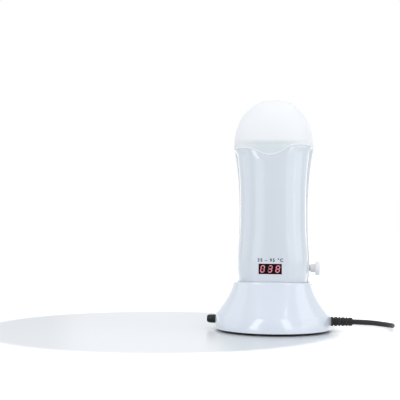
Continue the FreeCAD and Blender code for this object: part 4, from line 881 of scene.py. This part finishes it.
def form(z):
    """Half width, half depth and squareness at height z: a parabola up to the bulge, a cosine to the
    waist, and a power curve up to the shoulder."""
    fall = np.clip((BULGE_Z - z) / (BULGE_Z - BASE_TOP), 0, 1) ** 2
    share = np.clip((WAIST_Z - z) / (WAIST_Z - BULGE_Z), 0, 1)
    swell = (1 - np.cos(np.pi * share ** BULGE_POWER)) / 2
    rise = np.clip((z - WAIST_Z) / (SHOULDER_Z - WAIST_Z), 0, 1) ** RISE_POWER
    half_w, half_d, power = (
        waist + bulge * swell + foot * fall + shoulder * rise for waist, bulge, foot, shoulder in FORM_TABLE
    )
    dome = oval_share(np.clip((z - SHOULDER_Z) / DOME_HEIGHT, 0, 1), DOME_POWER)
    return half_w * dome, half_d * dome, power


def wave(x):
    """Height of the seam at x: level, then three stretches that are flat at both ends."""
    t = np.linspace(0, 1, WAVE_STEPS)
    first, second = 3 * t * (1 - t) ** 2, 3 * t ** 2 * (1 - t)
    along = WAVE_HANDLE * first + (1 - WAVE_HANDLE) * second + t ** 3
    places, heights = [-FAR_ASIDE], [WAVE_KNOTS[0][1]]
    for (x0, z0), (x1, z1) in zip(WAVE_KNOTS, WAVE_KNOTS[1:]):
        places += list(x0 + (x1 - x0) * along)
        heights += list(z0 + (z1 - z0) * smooth(t))
    return np.interp(x, [*places, FAR_ASIDE], [*heights, WAVE_KNOTS[-1][1]])


def panel_step(x, z):
    """How far the panel's sides lie inside those of the rear cover: more and more towards the shoulder,
    then next to nothing in the last millimetres below the wave."""
    rise = np.clip((z - WAIST_Z) / (SHOULDER_Z - WAIST_Z), 0, 1)
    near = np.clip(1 - (wave(x) - z) / STEP_RUN_OUT, 0, 1)
    return (PANEL_STEP + STEP_GROWTH * rise ** STEP_POWER) * (1 - STEP_LOSS * smooth(near))


# ---- Front panel ----
# A curved panel of glossy plastic, let in to the rear shell a little below its rims. The window for
# the display is moulded in, and its upper edge follows the wave below the cap.
WINDOW_HALF_W = 11.3
WINDOW_LOW = 57.35
WINDOW_HIGH = 67.45
WINDOW_COLUMNS = 24
SIDE_COLUMNS = 28
SIDE_X = 40.0
ROWS_BELOW = 9
WINDOW_ROWS = 5
ROWS_ABOVE = 99
ROW_CROWDING = 1.6
ROLL_REACH = 8.5
ROLL_DEPTH = 1.6
PANEL_END_Y = -1.0
SHELL_WALL = 2.2


def panel_y(x, z):
    """Depth of the panel's skin at (x, z): the oval of that height, drawn in by the step at its sides, and
    rolled in towards the wave by a parabola."""
    half_w, half_d, power = form(z)
    near = np.clip(1 - (wave(x) - z) / ROLL_REACH, 0, 1)
    return (ROLL_DEPTH * near ** 2 - half_d) * oval_share(x / (half_w - panel_step(x, z)), power)


def panel_points():
    """Columns by x: even across the window, then closer and closer to the parting edge; rows even below
    the window and across it, then closer and closer up to the wave. y follows from the oval at each
    height. Also returns which cells the window takes out."""
    middle = np.linspace(-1, 1, WINDOW_COLUMNS + 1)
    outer = np.sin(np.linspace(0, 1, SIDE_COLUMNS + 1)[1:] * np.pi / 2)
    side = np.concatenate([-np.ones_like(outer), 0 * middle, np.ones_like(outer)])
    across = WINDOW_HALF_W * np.concatenate([-np.ones_like(outer), middle, np.ones_like(outer)])
    outward = np.concatenate([outer[::-1], 0 * middle, outer])

    def columns_at(z):
        half_w, half_d, power = form(z)
        edge = (half_w - panel_step(SIDE_X * side, z)) * oval_share(PANEL_END_Y / half_d, power)
        return across + side * (edge - WINDOW_HALF_W) * outward

    low = np.linspace(FOOT_TOP, WINDOW_LOW, ROWS_BELOW + 1)
    beside = np.linspace(WINDOW_LOW, WINDOW_HIGH, WINDOW_ROWS + 1)[1:]
    low_z = np.concatenate([low, beside])[:, None] + 0 * side
    high = 1 - (1 - np.linspace(0, 1, ROWS_ABOVE + 1)[1:, None]) ** ROW_CROWDING
    top_z = WINDOW_HIGH + (SEAM_Z - WINDOW_HIGH) * high + 0 * side
    for _ in range(SEAM_PASSES):
        top_x = columns_at(top_z)
        top_z = WINDOW_HIGH + (wave(top_x) - SEAM_GAP / 2 - WINDOW_HIGH) * high
    z = np.concatenate([low_z, top_z])
    x = np.concatenate([columns_at(low_z), top_x])
    dropped = np.zeros((x.shape[0] - 1, x.shape[1] - 1), bool)
    dropped[ROWS_BELOW:ROWS_BELOW + WINDOW_ROWS, SIDE_COLUMNS:SIDE_COLUMNS + WINDOW_COLUMNS] = True
    return grid(x, panel_y(x, z), z), dropped


def add_wall(piece, thickness):
    """Live wall inwards from the skin."""
    wall = piece.modifiers.new("wall", "SOLIDIFY")
    wall.thickness = thickness * MM
    wall.offset = -1.0
    wall.use_even_offset = True


panel_grid, window_cells = panel_points()
panel = surface("front_cover", panel_grid, dropped=window_cells)
add_wall(panel, SHELL_WALL)
soften(panel, 0.2, 3, EDGE_ANGLE)
cover_plastic, cover_shader = plastic(
    "cover plastic", (0.665, 0.715, 0.775), (0.650, 0.700, 0.760), 0.2, 0.05
)
add_coat(cover_shader, 0.1)
hold(panel, "handset", "body_plastic", cover_plastic, "front_panel")

# ---- Rear shell ----
# The back and both sides in one moulding. Its front rims stand proud of the panel, and painted light
# makes the shell lighter than the panel, so that the rims read as a narrow light line. Two deep round
# pockets at its foot take the screws.
SCREW_X = 24.0
SCREW_Z = 50.0
SCREW_SHANK = 1.3
POCKET_RADIUS = 3.0
POCKET_OUTSIDE = 4.2
POCKET_MOUTH = 22.0
POCKET_CUT_IN = 15.0
POCKET_CUT_OUT = 40.0
SEAT_Y = 4.0
SEAT_END_Y = 2.4
POCKET_PROFILE = (
    # place along Y, radius
    (SEAT_Y, SCREW_SHANK),
    (SEAT_END_Y, SCREW_SHANK),
    (SEAT_END_Y, POCKET_OUTSIDE),
    (POCKET_MOUTH, POCKET_OUTSIDE),
    (POCKET_MOUTH, POCKET_RADIUS),
    (SEAT_Y, POCKET_RADIUS),
    (SEAT_Y, SCREW_SHANK),
)
REAR_COLUMNS = 121
REAR_ROWS = 90
PARTING_Y = -1.5
RIM_WALL = 3.0


def rear_points():
    """Polar angle from one parting edge round the back to the other, rows from the foot to the wave."""
    u = np.linspace(0, 1, REAR_COLUMNS)[None, :]
    v = np.linspace(0, 1, REAR_ROWS)[:, None]
    z = FOOT_TOP + (SHOULDER_Z - FOOT_TOP) * v
    for _ in range(SEAM_PASSES):
        half_w, half_d, power = form(z)
        start = np.arctan2(PARTING_Y, half_w * oval_share(PARTING_Y / half_d, power))
        x, y = oval(half_w, half_d, power, start + (np.pi - 2 * start) * u)
        top = wave(x[-1:]) - SEAM_GAP / 2
        z = FOOT_TOP + (top - FOOT_TOP) * v
    return grid(x, y, z)


rear = surface("rear_cover", rear_points())
add_wall(rear, RIM_WALL)
cut_out(rear, [
    bore((x, POCKET_CUT_IN, SCREW_Z), (x, POCKET_CUT_OUT, SCREW_Z), POCKET_RADIUS)
    for x in (-SCREW_X, SCREW_X)
])
soften(rear, 0.8, 4, EDGE_ANGLE)
# Painted light: lighter than the panel's plastic, so that the rims read as lit.
rear_plastic, rear_shader = plastic(
    "rear cover plastic, painted light", (0.84, 0.87, 0.905), (0.825, 0.855, 0.89), 0.2, 0.05
)
add_coat(rear_shader, 0.1)
hold(rear, "handset", "rear_plastic", rear_plastic, "rear_shell")
for side, name in ((-1, "left"), (1, "right")):
    pocket_grid = along_y(turned(POCKET_PROFILE, BORE_COLUMNS), side * SCREW_X, 0.0, SCREW_Z)
    pocket = surface(f"screw_pocket_{name}", pocket_grid, around=True)
    hold(pocket, "handset", "rear_plastic", rear_plastic)

# ---- Foot of the handset ----
# A plain plate of natural plastic closes the handset from below. It carries the contact socket,
# which takes the two pins of the base.
finish(inner_plastic, "foot_plate")

# ---- Display ----
# A three-digit module behind a black window, soldered to the control board. Lit bars glow red
# through the window; the bars that are off stay a faint grey.
LIT_GLOW = (1.0, 0.26, 0.36, 1)
LIT_STRENGTH = 0.46

window_black, _ = plastic(
    "black window", (0.013, 0.002, 0.003), (0.011, 0.002, 0.003), 0.25, 0.04, gloss=0.04
)
bar_lit, lit_shader = plastic("lit bars", (0.45, 0.16, 0.20), (0.50, 0.20, 0.24), 0.4, 0.05, gloss=0.2)
lit_shader.inputs["Emission Color"].default_value = LIT_GLOW
lit_shader.inputs["Emission Strength"].default_value = LIT_STRENGTH
bar_dim, _ = plastic("dim bars", (0.13, 0.13, 0.12), (0.10, 0.10, 0.10), 0.4, 0.05)
board_green, _ = plastic("green board", (0.02, 0.16, 0.06), (0.03, 0.20, 0.08), 0.4, 0.15, 400.0)
finish(window_black, "display_module")
finish(bar_lit, "display_lit_bars")
finish(bar_dim, "display_dim_bars")
finish(board_green, "control_board")

# ---- Window frame and scale mark ----
# A thin raised bead is moulded round the window. Above it the panel is pad-printed in black with the
# range of temperatures that the knob can set.
FRAME_HALF_W = 11.75
FRAME_HALF_H = 5.5
FRAME_CORNER = 0.9
BEAD_RADIUS = 0.42
BEAD_HEIGHT = 0.7
CORNER_COLUMNS = 7
SECTION_ROWS = 13
MARK_Z = 69.3
MARK_HEIGHT = 3.5
MARK_LEFT = -12.3
INK_PROUD = 0.05
STROKE_GROWTH = 0.032
LETTER_SPACING = 1.3


def bead_points():
    """Half-round section carried round a rectangle with round corners that lies on the panel's skin."""
    arc = np.linspace(0, np.pi / 2, CORNER_COLUMNS)
    path, out = [], []
    for k, (sx, sz) in enumerate(((1, -1), (1, 1), (-1, 1), (-1, -1))):
        turn = arc - np.pi / 2 + k * np.pi / 2
        corner = np.array([[sx * (FRAME_HALF_W - FRAME_CORNER)], [sz * (FRAME_HALF_H - FRAME_CORNER)]])
        out.append(np.stack([np.cos(turn), np.sin(turn)]))
        path.append(corner + FRAME_CORNER * out[-1])
    path_x, path_z = np.concatenate(path, axis=1)[:, None, :]
    out_x, out_z = np.concatenate(out, axis=1)[:, None, :]
    middle = (WINDOW_LOW + WINDOW_HIGH) / 2
    section = np.linspace(0, 2 * np.pi, SECTION_ROWS)[:, None]
    x = path_x + BEAD_RADIUS * np.cos(section) * out_x
    y = panel_y(path_x, middle + path_z) - BEAD_HEIGHT * BEAD_RADIUS * np.sin(section)
    z = middle + path_z + BEAD_RADIUS * np.cos(section) * out_z
    return grid(x, y, z)


frame_bead = surface("window_frame", bead_points(), around=True)
hold(frame_bead, "handset", "body_plastic", cover_plastic)


def vertex_places(mesh):
    """(count, 3) array of the mesh's points."""
    places = np.empty(3 * len(mesh.vertices))
    mesh.vertices.foreach_get("co", places)
    return places.reshape(-1, 3)


def printed(name, flat, left, low, height):
    """A flat outline (x, y) made a thin mesh, scaled to the height given, with (left, low) for its lower
    left corner, and laid on the panel's skin."""
    mesh = bpy.data.meshes.new_from_object(flat)
    mesh.name = name
    bpy.data.objects.remove(flat)
    places = vertex_places(mesh)
    corner = places.min(axis=0)
    scale = height / (places[:, 1].max() - corner[1])
    x = left + (places[:, 0] - corner[0]) * scale
    z = low + (places[:, 1] - corner[1]) * scale
    mesh.vertices.foreach_set("co", (grid(x, panel_y(x, z) - INK_PROUD, z) * MM).ravel())
    mesh.update()
    return new_object(name, mesh)


words = bpy.data.curves.new("range", "FONT")
words.offset = STROKE_GROWTH
words.body = "35 \u2013 95 \u00b0C"
words.space_character = LETTER_SPACING
ink, _ = plastic("black ink", (0.006, 0.008, 0.010), (0.010, 0.012, 0.014), 0.5, 0.1)
flat_range = new_object("range", words)
bpy.context.view_layer.update()
range_mark = printed("range_mark", flat_range, MARK_LEFT, MARK_Z, MARK_HEIGHT)
hold(range_mark, "handset", "display_black", ink)

# ---- Temperature knob ----
# A small frosted knob with a fluted disc on a round neck, pressed on the potentiometer's shaft,
# which comes out of the right side of the handset.
KNOB_START = 36.43
KNOB_BORE = 3.05
KNOB_BORE_END = 41.0
KNOB_Y = 9.0
KNOB_Z = 62.0
NECK_RADIUS = 4.25
NECK_END = 41.4
DISC_END = 45.9
DISC_RADIUS = 7.0
FACE_DEPTH = 0.35
KNOB_PROFILE = (
    # place along X, radius, reach of the rounding
    (KNOB_BORE_END, 0, 0),
    (KNOB_BORE_END, KNOB_BORE, 0),
    (KNOB_START, KNOB_BORE, 0),
    (KNOB_START, NECK_RADIUS, 0.3),
    (NECK_END, NECK_RADIUS, 0.4),
    (NECK_END, DISC_RADIUS, 0.7),
    (DISC_END, DISC_RADIUS, 0.8),
    (DISC_END, 5.0, 0.3),
    (DISC_END - FACE_DEPTH, 4.6, 0.3),
    (DISC_END - FACE_DEPTH, 0, 0),
)
FLUTES = 20
COLUMNS_PER_FLUTE = 10
FLUTE_DEPTH = 0.055
FLUTE_RUN_OUT = 0.5


def flutes(along, angle):
    """Share of the disc's radius that is left: grooves that run out at both of its faces."""
    behind = np.clip((along - NECK_END) / FLUTE_RUN_OUT, 0, 1)
    before = np.clip((DISC_END - along) / FLUTE_RUN_OUT, 0, 1)
    return 1 - FLUTE_DEPTH * behind * before * np.clip(np.cos(FLUTES * angle), 0, 1) ** 3


def add_depth(shader, weight, depth):
    """Light that spreads below a frosted skin."""
    shader.inputs["Subsurface Weight"].default_value = weight
    shader.inputs["Subsurface Scale"].default_value = depth * MM
    shader.inputs["Subsurface Radius"].default_value = (1.0, 1.0, 1.0)


knob_grid = turned(rounded_profile(KNOB_PROFILE, ROUNDING_STEPS), FLUTES * COLUMNS_PER_FLUTE, flutes)
knob = surface("side_knob", knob_grid + (0.0, KNOB_Y, KNOB_Z), around=True)
knob_plastic, knob_shader = plastic(
    "frosted knob plastic", (0.93, 0.93, 0.94), (0.90, 0.90, 0.915), 0.3, 0.08
)
add_depth(knob_shader, 0.3, 2.0)
hold(knob, "knob", "knob_plastic", knob_plastic, "temperature_knob")
can_steel = metal("plated steel", (0.60, 0.60, 0.62), (0.52, 0.52, 0.54), 0.32, 0.15, 150.0)
finish(inner_plastic, "knob_shaft")
finish(can_steel, "potentiometer")

# ---- Heating chamber ----
# A deep-drawn aluminium well for the wax cartridge stands in a plastic cradle. A heating plate is
# pressed on its back by a spring band, with the thermostat in front and a thermal fuse above.
well_metal = metal("drawn aluminium", (0.76, 0.77, 0.78), (0.68, 0.69, 0.71), 0.34, 0.15, 60.0)
heater_cover, _ = plastic("heater foil", (0.34, 0.31, 0.26), (0.28, 0.25, 0.21), 0.5, 0.1, 120.0)
collar_plastic, _ = plastic("collar plastic", (0.52, 0.60, 0.58), (0.50, 0.57, 0.55), 0.4, 0.08)
finish(well_metal, "heating_chamber")
finish(heater_cover, "heater_plate")
finish(collar_plastic, "chamber_collar")
finish(inner_plastic, "chamber_cradle")
finish(plate_plastic, "thermostat")
finish(can_steel, "heater_band", "thermal_fuse", "fuse_clip")

# ---- Cap ----
# A frosted, slightly see-through dome moulded in one thin wall. Its skirt reaches down to the wave.
# Painted shade darkens the skirt's front, where the collar inside blocks light, with a soft upper edge.
CAP_WALL = 1.5
CAP_COLUMNS = 200
SKIRT_ROWS = 44
SKIRT_CROWDING = 1.5
SKIRT_TOP = 189.5
DOME_ROWS = 39
SKIRT_TUCK = 1.6
TUCK_START = 189.0
TUCK_END = 184.0
HEM_WIDTH = 1.4
HEM_PROUD = 0.16
TINY = 1e-6
SHADE_TOP = 188.0
SHADE_SOFT = 4.0
SHADE_FULL_X = 10.0
SHADE_SIDE_REACH = 26.0
SHADE_SIDE_LOSS = 0.75
SHADE_HEM_SOFT = 0.4
# Colour of the painted shade on the skirt's front, where the collar inside blocks the light.
PAINTED_SHADE_COLOUR = (0.74, 0.82, 0.845, 1)


def tuck(z):
    """How far the skirt's front lies inside the form: a smooth step just above the collar."""
    return SKIRT_TUCK * smooth(np.clip((TUCK_START - z) / (TUCK_START - TUCK_END), 0, 1))


def cap_points():
    """Rings of polar angle: from the wave up the skirt, then by the superellipse's own angle to the pole.
    A half-round bead runs along the hem at the skirt's front."""
    angle = full_turn(CAP_COLUMNS)
    v = np.linspace(0, 1, SKIRT_ROWS)[:, None] ** SKIRT_CROWDING

    def ring(z, low):
        half_w, half_d, power = form(z)
        x, y = oval(np.maximum(half_w, TINY), np.maximum(half_d, TINY), power, angle)
        front = np.clip(-y / (half_d + TINY), 0, 1)
        bead = HEM_PROUD * np.sin(np.pi * np.clip((z - low) / HEM_WIDTH, 0, 1))
        return x, y + (tuck(z) - bead) * front

    z, low = TUCK_END, SEAM_Z
    for _ in range(SEAM_PASSES):
        x, y = ring(z, low)
        low = wave(x[:1]) + SEAM_GAP / 2
        z = low + (SKIRT_TOP - low) * v
    skirt = grid(x, y, z)
    rise = math.asin(((SKIRT_TOP - SHOULDER_Z) / DOME_HEIGHT) ** (DOME_POWER / 2))
    turn = np.linspace(rise, np.pi / 2, DOME_ROWS + 1)[1:, None]
    z = SHOULDER_Z + DOME_HEIGHT * np.sin(turn) ** (2 / DOME_POWER)
    return np.concatenate([skirt, grid(*ring(z, low), z)])


def painted_skirt_shade(mesh):
    """Share of painted shade at each point, as the collar inside blocks light through the skirt: full below
    the collar's rim, fading over a few millimetres above it and towards the sides, front only, none on the
    hem."""
    x, y, z = vertex_places(mesh).T / MM
    below = np.clip((SHADE_TOP - z) / SHADE_SOFT, 0, 1)
    aside = np.clip((np.abs(x) - SHADE_FULL_X) / SHADE_SIDE_REACH, 0, 1)
    hem = np.clip((z - wave(x) - HEM_WIDTH) / SHADE_HEM_SOFT, 0, 1)
    share = smooth(below) * (1 - SHADE_SIDE_LOSS * smooth(aside)) * hem * (y < 0)
    mesh.attributes.new("painted collar shade", "FLOAT", "POINT").data.foreach_set("value", share)


cap = surface("frosted_cap", cap_points(), around=True)
painted_skirt_shade(cap.data)
add_wall(cap, CAP_WALL)
soften(cap, 0.06, 2, EDGE_ANGLE)
cap_plastic, cap_shader = plastic(
    "frosted cap plastic", (0.96, 0.975, 0.998), (0.95, 0.965, 0.988), 0.55, 0.06, gloss=0.25
)
add_depth(cap_shader, 0.4, 3.0)
# Painted shade: the cap's colour is mixed towards the shade colour by the painted collar shade share.
cap_tree = cap_plastic.node_tree
painted_shade_share = cap_tree.nodes.new("ShaderNodeAttribute")
painted_shade_share.attribute_name = "painted collar shade"
painted_shade_mix = cap_tree.nodes.new("ShaderNodeMix")
painted_shade_mix.data_type = "RGBA"
painted_shade_mix.inputs["B"].default_value = PAINTED_SHADE_COLOUR
cap_tree.links.new(painted_shade_share.outputs["Fac"], painted_shade_mix.inputs["Factor"])
cap_tree.links.new(cap_shader.inputs["Base Color"].links[0].from_socket, painted_shade_mix.inputs["A"])
cap_tree.links.new(painted_shade_mix.outputs["Result"], cap_shader.inputs["Base Color"])
hold(cap, "cap", "cap_plastic", cap_plastic, "dome_cap")
